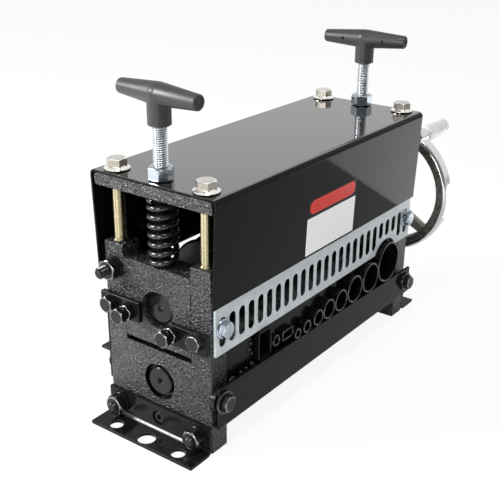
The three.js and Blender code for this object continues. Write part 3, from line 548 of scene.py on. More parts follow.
def foldedFoot(side, f):
    w, z, boltY = machine["halfWidth"], blocks["footBoltZ"], blocks["footBoltY"]
    out, way, axis = (ends[side][k] for k in ("out", "dir", "axis"))
    inner = out + way * machine["gap"]
    path = [(inner, -w, f["rise"]), (inner, -w, 0), (out + way * f["reach"], -w, 0)]
    bm = foldedSheet(path, (0, 2 * w, 0), f["bend"], 6, (0, 0, 1), -f["sheet"])
    cutters = [drill(f["sightHole"], -1, 5, axis, (out, 0, z), 32)]
    cutters += [drill(holes["medium"], -1, 5, axis, (out, turn * boltY, z), 32) for turn in faces.values()]
    for y, radius in f["holes"].items():
        cutters.append(drill(radius, -1, f["sheet"] + 1, "z", (out + way * f["holeReach"], y, 0), 48))
    bm = soften(carve(bm, cutters), 0.35, 60, 2)
    for y in (-f["shine"], f["shine"]):  # the bright part of the fold ends at the nuts
        every = [*bm.verts, *bm.edges, *bm.faces]
        bmesh.ops.bisect_plane(bm, geom=every, plane_co=(0, y, 0), plane_no=(0, 1, 0))

    # painted highlight: the inner bend between the nuts takes the lighter fold metal
    def fold(c, n):
        return 0.35 < n.z < 0.95 and n.x * way > 0.2 and 2.9 < c.z < 6.5 and abs(c.y) < f["shine"]

    finish(bm, side + "FootBracket", "sheet", patches=[("foldPaintedHighlight", fold)])
    screw = rod(5.8, -9, 2.2, axis, (out, 0, z), 32, 0.9)
    socket = hexagon(5.0, 3, axis, (out + way * 0.2, 0, z), 10)
    finish(carve(screw, [socket]), side + "FootSetScrew", "blackSteel")


for side in ends:
    foldedFoot(side, feet)
print("stage: feet made")

# Fasteners at the corners
# worn paint and painted highlight: the chamfers of the black bolts and nuts take the lighter edge metal
wearAndHighlightAlongX = [("wornEdgeAndHighlight", lambda c, n: 0.84 < abs(n.x) < 0.9)]
wearAndHighlightAlongY = [("wornEdgeAndHighlight", lambda c, n: 0.84 < abs(n.y) < 0.9 or 0.5 < abs(n.y) < 0.8 and c.y < -64.4)]
footNut = {"base": 3.6, "washer": (9.6, 2.2), "across": 16.4, "high": 8.0, "radius": 5.0, "far": 16.8,
           "roll": 12}
tieNut = {"base": 0.3, "washer": (10.0, 2.4), "across": 16.4, "high": 8.1, "radius": 5.0, "far": 19.4,
          "roll": 20}
smallBolt = {"across": 13, "radius": 4.0, "core": 3.5, "pitch": 1.25}
flangeBolt = {"across": 15.0, "high": 7.4, "radius": 5.2, "shank": (152, 224), "collar": (164.6, 166.4),
              "yaw": {"leftFront": 17, "leftRear": 28, "rightFront": 11, "rightRear": 18}}


def studAndNut(side, y, z, base, washer, across, high, radius, far, roll):
    out, way, axis = (ends[side][k] for k in ("out", "dir", "axis"))
    at, seat = (out, y, z), base + washer[1]
    return [
        bored(washer[0], radius + 0.2, base, seat, axis, at, 48, 0.25),
        hexagon(across, high, axis, (out + way * seat, y, z), roll, True, radius - 0.2),
        threaded(radius, 1.5, seat + high - 3, far, axis, at),
        rod(radius - 0.9, seat, far + 0.1, axis, at, 24, 0.6),
    ]


def footBolt(side, turn, name):
    y, z = turn * blocks["footBoltY"], blocks["footBoltZ"]
    shank = rod(footNut["radius"], -13.8, 4, ends[side]["axis"], (ends[side]["out"], y, z), 24)
    parts = [*studAndNut(side, y, z, **footNut), shank]
    finish(parts, name + "FootBolt", "blackSteel", patches=wearAndHighlightAlongX)


def coverBolt(side, turn, name, b):
    x, y, base = ends[side]["pillar"], turn * blocks["coverBoltY"], machine["coverTop"] + machine["gap"]
    parts = [
        turned([
            (0, 0), (10.2, 0), (10.9, 0.5), (10.85, 1.1), (10.2, 1.7), (8.2, 2.7), (7.6, 3.3), (0, 3.3),
        ], "z", (x, y, base), 64),
        hexagon(b["across"], b["high"], "z", (x, y, base + 2.0), b["yaw"][name]),
        dished(5.0, 5.6, 6.1, 0.35, "z", (x, y, base + 9.15)),
    ]
    # painted light: the flats of the head take the darker zinc as painted shade, the chamfers and slopes the
    # brighter zinc as a painted highlight
    patches = [("boltSideShade", lambda c, n: abs(n.z) < 0.6), ("boltEdgeHighlight", lambda c, n: 0.6 <= n.z < 0.97)]
    finish(parts, name + "CoverBolt", "boltZinc", patches=patches)
    shank = rod(b["radius"], *b["shank"], "z", (x, y, 0), 48)
    collar = bored(6.4, b["radius"] + 0.1, *b["collar"], "z", (x, y, 0), 48)
    finish([shank, collar], name + "Pillar", "yellowZinc")


def slideRetainer(side, turn, name, r):
    out, way, axis = (ends[side][k] for k in ("out", "dir", "axis"))
    bolt, jack = ((out, turn * r[k][0], r[k][1]) for k in ("bolt", "jack"))
    y0, y1 = sorted((turn * r["inner"], turn * r["outer"]))
    x0, x1 = reach(side, machine["gap"], machine["gap"] + retainers["thick"])
    low, high = r["middle"] - retainers["tall"] / 2, r["middle"] + retainers["tall"] / 2
    cutters = [drill(holes["small"], 0, 7, axis, at) for at in (jack, bolt)]
    plate = carve(slab((x0, y0, low), (x1, y1, high), 0.7, 3), cutters)
    finish(plate, name + "Retainer", "sheet")
    across, radius, core = (smallBolt[k] for k in ("across", "radius", "core"))
    parts = [
        bored(7.9, radius + 0.2, 5.6, 6.8, axis, bolt, 40, 0.25),
        hexagon(across, 5.5, axis, (out + way * 6.7, *bolt[1:]), r["roll"]),
        rod(radius, -12.8, 6.8, axis, bolt, 24),
    ]
    finish(parts, name + "RetainerBolt", "blackSteel", patches=wearAndHighlightAlongX)
    parts = [
        hexagon(across, 5.6, axis, (out + way * 5.6, *jack[1:]), 16, True, radius - 0.2),
        threaded(radius, smallBolt["pitch"], 9.5, 15.2, axis, jack),
        rod(core, 0.4, 15, axis, jack, 24),
        hexagon(across, 5.4, axis, (out + way * 14.6, *jack[1:]), 38),
    ]
    finish(parts, name + "JackScrew", "blackSteel", patches=wearAndHighlightAlongX)


tieParts = [rod(tieNut["radius"], -10, 342, "x", (0, *blocks["tieRod"]), 32)]
for side in ends:
    tieParts += studAndNut(side, *blocks["tieRod"], **tieNut)
    for face, turn in faces.items():
        name = side + face.capitalize()
        footBolt(side, turn, name)
        coverBolt(side, turn, name, flangeBolt)
        slideRetainer(side, turn, name, retainers[face])
finish(tieParts, "tieRodWithNuts", "blackSteel", nodes=["tie_rod"], patches=wearAndHighlightAlongX)
print("stage: fasteners made")

# Top plates and cover
topPlates = {"half": 60.6, "low": 212.7, "high": 223.0, "round": 3.2}
coverSheet = {"low": -3.2, "high": 329.3, "halfTop": 64.9, "halfBottom": 61.6, "top": machine["coverTop"],
              "frontBottom": 135.0, "rearBottom": 128.8, "thick": 2.0, "bend": 5.0, "between": (2, 327)}


def topPlate(side, t):
    x0, x1 = ends[side]["plate"]
    bm = slab((x0, -t["half"], t["low"]), (x1, t["half"], t["high"]), 0)
    alongX = lambda e: abs(e.verts[0].co.x - e.verts[1].co.x) > 1
    frontFoot = lambda e: all(v.co.y < 0 and v.co.z < t["low"] + 1 for v in e.verts)
    soften(bm, t["round"], 60, 6, lambda e: alongX(e) and not frontFoot(e))
    soften(bm, 0.5, 60, 2)
    low, high = t["low"] - 1, t["high"] + 1
    cutters = [drill(holes["screw"], low, high, "z", (ends[side]["screw"], 0, 0), 40)]
    for turn in faces.values():
        at = (ends[side]["pillar"], turn * blocks["coverBoltY"], 0)
        cutters.append(drill(holes["wide"], low, high, "z", at, 32))
    finish(carve(bm, cutters), side + "TopPlate", "hammered")


def bentCover(c):
    lean = (c["halfTop"] - c["halfBottom"]) / (c["top"] - c["frontBottom"])
    path = [
        (-c["halfBottom"], c["frontBottom"]), (-c["halfTop"], c["top"]), (c["halfTop"], c["top"]),
        (c["halfTop"] - lean * (c["top"] - c["rearBottom"]), c["rearBottom"]),
    ]
    points, step = [(c["low"], y, z) for y, z in path], (c["high"] - c["low"], 0, 0)
    bm = foldedSheet(points, step, c["bend"], 10, (0, 0, 1), c["thick"])
    cutters, low, high = [], c["top"] - 5, c["top"] + 1
    for end in ends.values():
        cutters.append(drill(7.0, low, high, "z", (end["screw"], 0, 0), 40))
        for turn in faces.values():
            at = (end["pillar"], turn * blocks["coverBoltY"], 0)
            cutters.append(drill(holes["wide"], low, high, "z", at, 32))

    def outline(e):  # every sharp edge but those of the holes in the top
        a, b = (v.co for v in e.verts)
        atEnd = abs(a.x - b.x) < 0.01 and not c["between"][0] < a.x < c["between"][1]
        return atEnd or max(abs(v.z - c["top"] + 1) for v in (a, b)) > 3

    bm = soften(carve(bm, cutters), 0.5, 60, 3, outline)
    # painted reflection: the upward faces of the cover take the brighter top copy of its paint
    finish(bm, "bentCover", "cover", nodes=["cover"],
           patches=[("coverTop", lambda c, n: n.z > 0.9)])


for side in ends:
    topPlate(side, topPlates)
bentCover(coverSheet)
print("stage: cover made")

# Adjusting screws, lock nuts, handles, springs
screws = {"radius": 6.0, "pitch": 1.75, "low": 138.5, "high": 283.0, "thread": (154.4, 270.5),
          "plainTop": 155, "shade": 213, "nutAcross": 18.6, "nutHigh": 10.8,
          "nutYaw": {"left": 0, "right": 30}}
handles = {"height": 292.2, "half": 42.5, "middle": 9.15, "tip": 6.2, "stem": 9.3, "stemLow": 268.6,
           "yaw": {"left": 5.1, "right": -7.2}}
springs = {"wire": 4.9, "outer": 25.6, "low": 154.3, "high": 212.4, "curls": 7.4, "start": 0.6, "steps": 36}


def adjustingScrew(side, s):
    at = (ends[side]["screw"], 0, 0)
    parts = [
        threaded(s["radius"], s["pitch"], *s["thread"], "z", at, 20),
        rod(s["radius"] - 0.9, s["low"], s["high"], "z", at, 32),
        rod(s["radius"] - 0.05, s["low"], s["plainTop"], "z", at, 32),
    ]
    # painted shade: below the top plate the screw takes the black spring paint where it stands in the shade
    # under the cover, and above it the lower flanks of the thread take the darker zinc
    patches = [  # in the dark under the cover; the lower flanks of the thread above it
        ("springWire", lambda c, n: c.z < s["shade"]),
        ("threadShade", lambda c, n: c.z >= s["shade"] and n.z < -0.25),
    ]
    finish(parts, side + "AdjustingScrew", "screwZinc", side + "_screw", patches=patches)
    seat = (at[0], 0, machine["coverTop"] + machine["gap"])
    nut = hexagon(s["nutAcross"], s["nutHigh"], "z", seat, s["nutYaw"][side], True, s["radius"] + 0.1)
    finish(nut, side + "LockNut", "zincSide")


def crossHandle(side, h):
    m, t, half, low = h["middle"], h["tip"], h["half"], h["stemLow"] - h["height"]
    halfBar = [(0, half - 0.5), (0.9, half - 0.5), (1.2, half - 1.0), (t - 2.0, half - 0.9), (t - 1.7, half),
               (t - 0.8, half), (t, half - 0.9), (m, 1.5)]
    bar = turned([(r, -y) for r, y in halfBar] + halfBar[::-1], "y", (0, 0, 0), 56)
    stem = turned([(0, low), (h["stem"] - 0.5, low), (h["stem"], low + 0.6), (h["stem"] + 0.1, 1.2),
                   (9.1, 3.4), (8.0, 5.4), (5.6, 7.2), (2.8, 8.2), (0, 8.5)], "z", (0, 0, 0), 56)
    bm = carve(bar, [stem], "UNION")
    pits = [drill(1.5, 4.8, 14, "x" if side == "left" else "-x", (0, along, 0), 20) for along in (-21, 21)]
    bore = drill(screws["radius"] + 0.3, low - 2, screws["high"] + 0.3 - h["height"], steps=40)
    bm = carve(bm, pits + [bore])
    put(bm, "z", (ends[side]["screw"], 0, h["height"]), -h["yaw"][side])
    finish(bm, side + "CrossHandle", "handle", side + "_screw", [side + "_t_handle"], 50)


def springRise(share, curls):  # closed ends, even in between
    flat = 0.5 / curls

    def ease(s):
        return s * s / (2 * flat) if s < flat else s - flat / 2

    total = 1 - flat
    return ease(share) / total if share < 0.5 else 1 - ease(1 - share) / total


def coiledSpring(side, s):
    radius, wire = (s["outer"] - s["wire"]) / 2, s["wire"] / 2
    low, high = s["low"] + wire, s["high"] - wire
    bm = bmesh.new()
    place = Matrix.Translation((radius, 0, low)) @ pointing["y"]
    ring = bmesh.ops.create_circle(bm, segments=14, radius=wire, matrix=place)
    count = round(s["curls"] * s["steps"])
    last = ring["verts"] + list({e for v in ring["verts"] for e in v.link_edges})
    for i in range(count):
        rise = (high - low) * (springRise((i + 1) / count, s["curls"]) - springRise(i / count, s["curls"]))
        made = bmesh.ops.spin(bm, geom=last, cent=(0, 0, 0), axis=(0, 0, 1), dvec=(0, 0, rise),
                              angle=math.tau * s["curls"] / count, steps=1)
        last = made["geom_last"]
    fillEnds(bm)
    put(bm, "z", (ends[side]["screw"], 0, 0), math.degrees(s["start"]))
    piece = finish(bm, side + "CoilSpring", "springWire", nodes=[side + "_spring"], sharp=60)
    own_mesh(piece)


for side in ends:
    adjustingScrew(side, screws)
    crossHandle(side, handles)
    coiledSpring(side, springs)
print("stage: screws, handles and springs made")

# Sliding head and shafts
head = {"thick": 24.0, "low": 83.6, "high": 154.0, "half": 35.5, "shaft": 12.5, "recess": 4.0,
        "bushing": 16.0}


def slider(side, h):
    x0, x1 = reach(side, -h["thick"], 0)
    bm = slab((x0, -h["half"], h["low"]), (x1, h["half"], h["high"]), 0)
    upright = lambda e: abs(e.verts[0].co.z - e.verts[1].co.z) > 1
    soften(bm, 0.9, 40, 3, lambda e: not upright(e) and e.verts[0].co.z > h["high"] - 1)
    soften(bm, 0.3, 40, 2)
    bm = carve(bm, [
        drill(h["bushing"] + 0.3, x0 - 1, x1 + 1, "x", (0, 0, blocks["upperShaft"]), 72),
        drill(holes["screw"], screws["low"] - 0.1, h["high"] + 1, "z", (ends[side]["screw"], 0, 0), 40),
    ])
    finish(bm, side + "Slider", "hammered", "head")
    rings = {
        "Upper": ("head", reach(side, -h["thick"], -7)),
        "Lower": ("frame", reach(side, -machine["blockThick"], -5)),
    }
    for level, (body, span) in rings.items():
        at = (0, 0, blocks[level.lower() + "Shaft"])
        ring = bored(h["bushing"], h["shaft"] + 0.3, *span, "x", at, 72, 0.4)
        finish(ring, side + level + "Bushing", "blackSteel", body)


def centreDrilled(radius, low, high, z, far=True):
    profile = [(0, low + 5), (1.6, low + 3.6), (1.6, low + 1.6), (3.0, low), (radius - 0.8, low),
               (radius, low + 0.8)]
    profile += [(radius, high - 0.8), (radius - 0.8, high)]
    profile += [(3.0, high), (1.6, high - 1.6), (1.6, high - 3.6), (0, high - 5)] if far else [(0, high)]
    return turned(profile, "x", (0, 0, z), 72)


for side in ends:
    slider(side, head)
feedShaft = centreDrilled(head["shaft"], 0.5, machine["length"] - 0.5, blocks["lowerShaft"])
finish(feedShaft, "feedShaft", "blackSteel", "feed_spindle")
stepped = [
    centreDrilled(head["shaft"], head["recess"], 354, blocks["upperShaft"], False),
    rod(10.0, 353, 367.7, "x", (0, 0, blocks["upperShaft"]), 48, 0.6),
    rod(8.0, 366, 402, "x", (0, 0, blocks["upperShaft"]), 48, 0.8),
]
finish(stepped, "bladeShaft", "bareSteel", "blade_spindle",
       patches=[("blackSteel", lambda c, n: c.x < 6)])

# Cable lanes: position along the machine and tube radius. The first three have tubes of their own shapes.
lanes = {"tall": 66.2, "spare": 83.8, "flat": 101.4}
roundTubes = [(113.7, 5.0), (128.7, 6.2), (147.6, 7.9), (165.8, 9.9), (187.6, 10.9), (213.3, 13.8),
              (244.0, 15.4), (280.0, 21.1)]
stations = list(lanes.values()) + [x for x, _ in roundTubes]
rollers = {"bore": 12.8, "radius": 26.0, "low": 56.0, "high": 308.0, "groove": (5.4, 5),
           "lastGroove": (15, 11)}
blades = {"bore": 12.8, "hub": 17.0, "low": 52.0, "high": 308.0, "ground": 38.0, "radius": 40.2}


def feedRollers(f):
    bore, r, low, high = (f[k] for k in ("bore", "radius", "low", "high"))
    profile = [(bore, low), (r - 0.6, low), (r, low + 0.6)]
    for x in stations:
        wide, deep = f["lastGroove"] if x == stations[-1] else f["groove"]
        profile += [(r, x - wide), (r - deep + 0.4, x - 0.5), (r - deep + 0.4, x + 0.5), (r, x + wide)]
    profile += [(r, high - 0.6), (r - 0.6, high), (bore, high), (bore, low)]
    bm = turned(profile, "x", (0, 0, blocks["lowerShaft"]), 72)
    finish(bm, "feedRollers", "roller", "feed_spindle", ["feed_roller_set"])


def discBlades(f):
    bore, hub, low, high, ground, r = (f[k] for k in ("bore", "hub", "low", "high", "ground", "radius"))
    profile = [(bore, low), (hub - 0.4, low), (hub, low + 0.4)]
    for x in stations:
        profile += [(hub, x - 1.5), (ground, x - 1.3), (r, x - 0.1), (r, x + 0.1), (ground, x + 1.3),
                    (hub, x + 1.5)]
    profile += [(hub, high - 0.4), (hub - 0.4, high), (bore, high), (bore, low)]
    bm = turned(profile, "x", (0, 0, blocks["upperShaft"]), 96)
    # painted shade: the blades take the darkened blade steel
    finish(bm, "discBlades", "blade", "blade_spindle", ["blade_set"], 20)


feedRollers(rollers)
discBlades(blades)
print("stage: head and shafts made")

# Slotted guard
guard = {"low": (2.4, -58.6, 90.8), "high": (329.6, -56.6, 141.0),
         "recess": ((5.6, -57.7, 95.6), (326.4, -55, 125.6)),
         "slots": 25, "first": 11.6, "pitch": 12.86, "wide": 8.5, "bottom": 97.6, "top": 123.6,
         "short": (20, 21, 22), "shortBottom": 106.5, "notch": (280.0, 78.54, 24.2), "boltZ": 113.8}


def slottedGuard(g):
    bm = carve(rounded(g["low"], g["high"], "y", 1.2), [slab(*g["recess"])])  # thinner behind the slots
    bm = carve(bm, [drill(g["notch"][2], -60, -54, "y", (g["notch"][0], 0, g["notch"][1]), 96)])
    cutters = []
    for i in range(g["slots"]):
        x, half = g["first"] + g["pitch"] * i, g["wide"] / 2
        bottom = g["shortBottom"] if i in g["short"] else g["bottom"]
        cutters.append(rounded((x - half, -60, bottom), (x + half, -55, g["top"]), "y", half - 0.01, 0, 10))
    bm = soften(carve(bm, cutters), 0.25, 60, 1)
    finish(bm, "slottedGuard", "guard")
    for side, slot in (("left", 0), ("right", g["slots"] - 1)):
        x, z = g["first"] + g["pitch"] * slot, g["boltZ"]
        parts = [
            turned([(0, 0), (8.5, 0), (8.6, 0.4), (8.2, 1.1), (6.4, 1.6), (0, 1.6)], "-y", (x, -58.9, z)),
            hexagon(smallBolt["across"], 5.1, "-y", (x, -60.4, z), 40),
            dished(4.2, 4.6, 5.2, 0.3, "-y", (x, -65.35, z), 40),
            rod(smallBolt["core"], -59, -45.4, "y", (x, 0, z), 24),
        ]
        finish(parts, side + "GuardBolt", "zincSide")


slottedGuard(guard)
print("stage: guard made")

# Feed panel with guide tubes
panel = {"left": 20.3, "right": 311.7, "low": 50.0, "high": 93.5, "back": -53.3, "face": -56.3,
         "mouth": -64.0, "shortMouth": -61.2, "inner": -44.0, "wall": 1.8, "edgeLeft": 64.7,
         "edgeSlope": 0.027}
spareTube = {"z": 71.8, "hole": 3.6, "radius": 5.4}
flatTubes = [(lanes["tall"], 76.6, 19.0, 27.4), (lanes["flat"], 71.4, 17.6, 10.0)]  # X, Z, width, height


def flatTube(p, tube, inset, extra, radius, edge=0.0):
    x, z, wide, tall = tube
    a, b = wide / 2 - inset, tall / 2 - inset
    front, back = p["shortMouth"] - extra, p["inner"] + extra
    return rounded((x - a, front, z - b), (x + a, back, z + b), "y", radius, edge)


def feedPanel(p, spare):
    plate = slab((p["left"], p["face"], p["low"]), (p["right"], p["back"], p["high"]), 0.3, 1)
    wall, near, far = p["wall"], p["inner"], p["mouth"]
    collars, bores, tubes = [], [], []
    for x, r in roundTubes:
        at = (x, 0, p["edgeLeft"] - p["edgeSlope"] * x + 0.3 + r)
        if r > 20:
            collars.append(rod(r + 4, p["face"], p["back"], "y", at, 72, 0.3))
        bores.append(drill(r - wall / 2, far - 1, near + 1, "y", at, 64))
        i = r - wall
        tubes.append(turned([
            (i, near), (r, near), (r, far + 0.5), (r - 0.35, far + 0.1), (r - 0.6, far),
            (i + 0.5, far), (i + 0.1, far + 0.3), (i, far + 0.8), (i, near),
        ], "y", at, 72))
    at, i, r, far = (lanes["spare"], 0, spare["z"]), spare["hole"], spare["radius"], p["shortMouth"]
    bores.append(drill(i + 1, far - 1, near + 1, "y", at, 48))
    tubes.append(turned([
        (i, near), (r, near), (r, far + 0.5), (r - 0.5, far), (i + 0.4, far), (i, far + 0.6), (i, near),
    ], "y", at, 56))
    for tube in flatTubes:
        outer, hollow = flatTube(p, tube, 0, 0, 3.0, 0.3), flatTube(p, tube, wall, 1, 1.6)
        tubes.append(soften(carve(outer, [hollow]), 0.25, 60, 1))
        bores.append(flatTube(p, tube, wall / 2, 1, 2.2))
    finish(carve(carve(plate, collars, "UNION"), bores), "feedPanel", "panel")
    # painted highlight: the bevelled mouths of the round tubes take the lighter rim black as thin bright
    # rims
    rim = ("rim", lambda c, n: c.y < -60.4 and -0.95 < n.y < -0.3 and c.x > lanes["tall"] + 11)
    finish(tubes, "guideTubes", "panel", patches=[rim])


def weldBeads():
    random.seed(4)
    spots = [
        (26, 60, 3.0), (38, 61, 1.6), (46, 61, 1.4), (54, 62, 2.2), (58, 58, 1.8), (79, 65, 1.8),
        (92, 64, 1.5), (98, 64, 1.3), (105, 63, 1.6), (52, 82, 1.7), (50, 77, 1.8), (53, 72, 1.6),
        (50, 87, 1.4), (78, 88, 1.3),
        (124, 96, 1.0),
    ]
    beads = []
    for x, z, size in spots:
        bm = bmesh.new()
        place = Matrix.Translation((x, panel["face"] - 0.3, z)) @ Matrix.Diagonal((1.2, 0.75, 0.9, 1))
        bmesh.ops.create_icosphere(bm, subdivisions=3, radius=size, matrix=place)
        for vert in bm.verts:
            vert.co += Vector([random.uniform(-0.16, 0.16) for _ in range(3)])
        bmesh.ops.smooth_vert(bm, verts=bm.verts, factor=0.5, use_axis_x=True, use_axis_y=True,
                              use_axis_z=True)
        beads.append(bm)
    finish(beads, "weldBeads", "springWire", sharp=60)


feedPanel(panel, spareTube)
weldBeads()
print("stage: feed panel made")

# Lower front plate
skirt = {"left": 0.5, "right": 329.5, "face": -64.0, "sheet": 2.4, "bottom": 27.0, "flange": 7.4,
         "fold": 1.4,
         "bolts": {"left": (5.5, 51.5, 12), "right": (320.3, 42.0, 44)}}  # X, Z and turn of the head


def lowerPlate(s):
    corner = (s["left"], s["face"], s["bottom"])
    path = [(s["left"], s["face"], panel["edgeLeft"]), corner,
            (s["left"], s["face"] + s["flange"], s["bottom"])]
    bm = foldedSheet(path, (s["right"] - s["left"], 0, 0), s["fold"], 8, (0, -1, 0), s["sheet"])
    for vert in bm.verts:  # the top edge falls to the right
        if vert.co.x > s["right"] - 1 and vert.co.z > panel["edgeLeft"] - 1:
            vert.co.z -= panel["edgeSlope"] * s["right"]
    cutters = [drill(holes["small"], -66, -60, "y", (x, 0, z), 32) for x, z, _ in s["bolts"].values()]
    finish(soften(carve(bm, cutters), 0.4, 60, 2), "lowerFrontPlate", "lowerSheet")
    for side, (x, z, roll) in s["bolts"].items():
        parts = [
            bored(9.6, 4.1, -61.3, -56.6, "y", (x, 0, z), 48),
            turned([(4, 0), (9.8, 0), (10, 0.3), (9.8, 1.8), (9.4, 2.0), (4, 2.0), (4, 0)], "-y",
                   (x, -64.3, z)),
            hexagon(smallBolt["across"], 5.3, "-y", (x, -66.3, z), roll),
            dished(4.2, 4.7, 5.3, 0.3, "-y", (x, -71.35, z)),
            rod(smallBolt["radius"], -67, -45.4, "y", (x, 0, z), 32),
        ]
        finish(parts, side + "FrontPlateBolt", "blackSteel", patches=wearAndHighlightAlongY)


lowerPlate(skirt)

# Rear exit plate
rearPlate = {"left": 1, "right": 331, "front": 56.6, "sheet": 2.4, "low": 32.0, "high": 116.0,
             "window": ((32, 63.0), (300, 106.0)), "lipZ": 59.4, "lipReach": 10.0, "boltZ": 46.8,
             "boltX": {"left": 9, "right": 323}}


def rearExit(r):
    front, back = r["front"], r["front"] + r["sheet"]
    bm = rounded((r["left"], front, r["low"]), (r["right"], back, r["high"]), "y", 2.0)
    (x0, z0), (x1, z1) = r["window"]
    cutters = [rounded((x0, front - 1, z0), (x1, back + 1, z1), "y", 4.0)]
    for x in r["boltX"].values():
        cutters.append(drill(holes["small"], front - 1, back + 1, "y", (x, 0, r["boltZ"])))
    bm = soften(carve(bm, cutters), 0.4, 60, 2)
    z, half = r["lipZ"], r["sheet"] / 2
    lip = slab((r["left"], front + 1, z - half), (r["right"], back + r["lipReach"], z + half), 0.5, 3)
    finish([bm, lip], "rearExitPlate", "sheet")
    for side, x in r["boltX"].items():
        dome = turned([
            (0, 0), (7.4, 0), (7.6, 0.4), (7.5, 1.2), (6.6, 2.7), (5.0, 3.8), (2.6, 4.5), (2.3, 4.0),
            (2.1, 2.0), (0, 2.0),
        ], "y", (x, back + 0.3, r["boltZ"]), 48)
        shank = rod(smallBolt["radius"], 45.4, back + 1, "y", (x, 0, r["boltZ"]), 24)
        finish([dome, shank], side + "RearPlateBolt", "blackSteel")


rearExit(rearPlate)
print("stage: plates made")

# Hand wheel and grip
wheel = {
    "rim": (386.4, 403.0), "outer": 73.0, "inner": 60.6, "outerRound": 4.0, "innerRound": 2.5, "hub": 18.0,
    "hubEnds": (368.0, 392.0), "spokeAngle": 221.0, "spokeWide": 13.0, "spokeThick": 8.0, "spokeFace": 388.0,
    "spokeEnds": (10, 66), "dish": 0.326, "gripAngle": 115.5, "gripOrbit": 69.5, "boss": (386.3, 404.5),
    "gripLow": 409.0, "gripHigh": 457.0, "gripRadius": 9.4,
}


def cornerArc(r, x, radius, start, steps=6):  # quarter circle round (r, x), for a section turned about X
    angles = [math.radians(start + 90 * k / steps) for k in range(steps + 1)]
    return [(r + radius * math.cos(a), x + radius * math.sin(a)) for a in angles]


def handWheel(w, at):
    near, far = w["rim"]
    a, b = w["outerRound"], w["innerRound"]
    section = cornerArc(w["outer"] - a, far - a, a, 0) + cornerArc(w["inner"] + b, far - b, b, 90)
    section += cornerArc(w["inner"] + b, near + b, b, 180) + cornerArc(w["outer"] - a, near + a, a, 270)
    rim = turned(section + section[:1], "x", at, 160)
    low, high = w["hubEnds"]
    hub = turned([
        (0, low), (w["hub"] - 2.0, low), (w["hub"] - 0.6, low + 0.6), (w["hub"], low + 2.0),
        (w["hub"], high - 1.4), (w["hub"] - 1.4, high), (0, high),
    ], "x", at, 64)
    parts = [rim, carve(hub, [drill(8.3, low - 2, high + 2, "x", at, 48)])]
    start, end = w["spokeEnds"]
    for k in range(3):
        bar = slab((0, start, -w["spokeWide"] / 2), (w["spokeThick"], end, w["spokeWide"] / 2), 2.4, 4)
        for vert in bar.verts:  # dished toward the hub and a little narrower at the rim
            vert.co.x += w["spokeFace"] - w["dish"] * (w["inner"] - vert.co.y)
            vert.co.z *= 1.12 - 0.22 * (vert.co.y - start) / (end - start)
        turn = Matrix.Translation(at) @ Matrix.Rotation(math.radians(w["spokeAngle"] + 120 * k), 4, "X")
        bmesh.ops.transform(bar, matrix=turn, verts=bar.verts)
        parts.append(bar)
    turn, z = math.radians(w["gripAngle"]), at[2]
    gripAt = (0, math.cos(turn) * w["gripOrbit"], z + math.sin(turn) * w["gripOrbit"])
    parts.append(bored(9.2, 4.3, *w["boss"], "x", gripAt, 48, 1.2))

    def inside(c, n):
        radius = math.hypot(c.y, c.z - z)
        outwards = (n.y * c.y + n.z * (c.z - z)) / radius
        return w["inner"] - 0.4 < radius < w["inner"] + 8 and outwards < 0.5

    def spokes(c, n):
        return w["hub"] + 0.5 < math.hypot(c.y, c.z - z) < w["inner"] - 0.4

    finish(parts, "handWheel", "chrome", "blade_spindle", sharp=40,
           patches=[("cast", inside), ("spokeGrey", spokes)])
    nut = hexagon(24, 8.0, "x", (high + 0.3, 0, z), 5, True, 8.2)
    finish(nut, "wheelNut", "zinc", "blade_spindle")
    foot, top = w["boss"][0], w["gripHigh"]
    pin = [
        rod(4.0, foot - 1.3, top - 3.4, "x", gripAt, 32),
        rod(6.4, foot - 2.6, foot - 0.3, "x", gripAt, 40, 0.7),
        rod(6.0, top - 4, top - 1, "x", gripAt, 40, 0.8),
    ]
    finish(pin, "gripPin", "zinc", "blade_spindle")
    r, low, high = w["gripRadius"], w["gripLow"], w["gripHigh"]
    grip = turned([
        (4.4, low), (r - 1.6, low), (r - 0.5, low + 0.5), (r, low + 1.6), (r + 0.15, low + 12),
        (r + 0.3, low + 24), (r + 0.15, high - 12), (r, high - 3.6), (r - 0.6, high - 1.4),
        (r - 1.5, high - 0.4), (r - 2.6, high),
        (6.5, high), (6.4, high - 0.5), (6.4, high - 4.4), (4.4, high - 4.4), (4.4, low),
    ], "x", gripAt, 72)
    finish(grip, "crankGrip", "grip", "grip", sharp=40)


handWheel(wheel, (0, 0, blocks["upperShaft"]))
print("stage: wheel made")

# Bare plate on the cover
namePlate = {"low": 123.5, "high": 203.5, "bottom": 137.5, "top": 187.5, "thick": 0.35, "band": 12.5}


def barePlate(n, c):
    lean = math.atan((c["halfTop"] - c["halfBottom"]) / (c["top"] - c["frontBottom"]))
    onWall = Matrix.Translation((0, -c["halfBottom"], c["frontBottom"])) @ Matrix.Rotation(lean, 4, "X")
    low, top, back = n["bottom"] - c["frontBottom"], n["top"] - c["frontBottom"], -0.02
    x0, x1, band, front = n["low"], n["high"], top - n["band"], -n["thick"]
    sheets = {
        "Field": ("plateWhite", rounded((x0, front, low), (x1, back, band - 3), "y", 0.8, 0.08)),
        "Band": ("plateRed", rounded((x0 + 3, front, band), (x1 - 1.5, back, top), "y",
                                     n["band"] / 2 - 0.05, 0.08)),
        "Ground": ("sheet", rounded((x0, front / 2, band - 4), (x1, back, top + 1.5), "y", 0.8, 0.08)),
    }
    for name, (look, bm) in sheets.items():
        bmesh.ops.transform(bm, matrix=onWall, verts=bm.verts)  # drawn upright, laid on the leaning wall
        finish(bm, "barePlate" + name, look)


barePlate(namePlate, coverSheet)

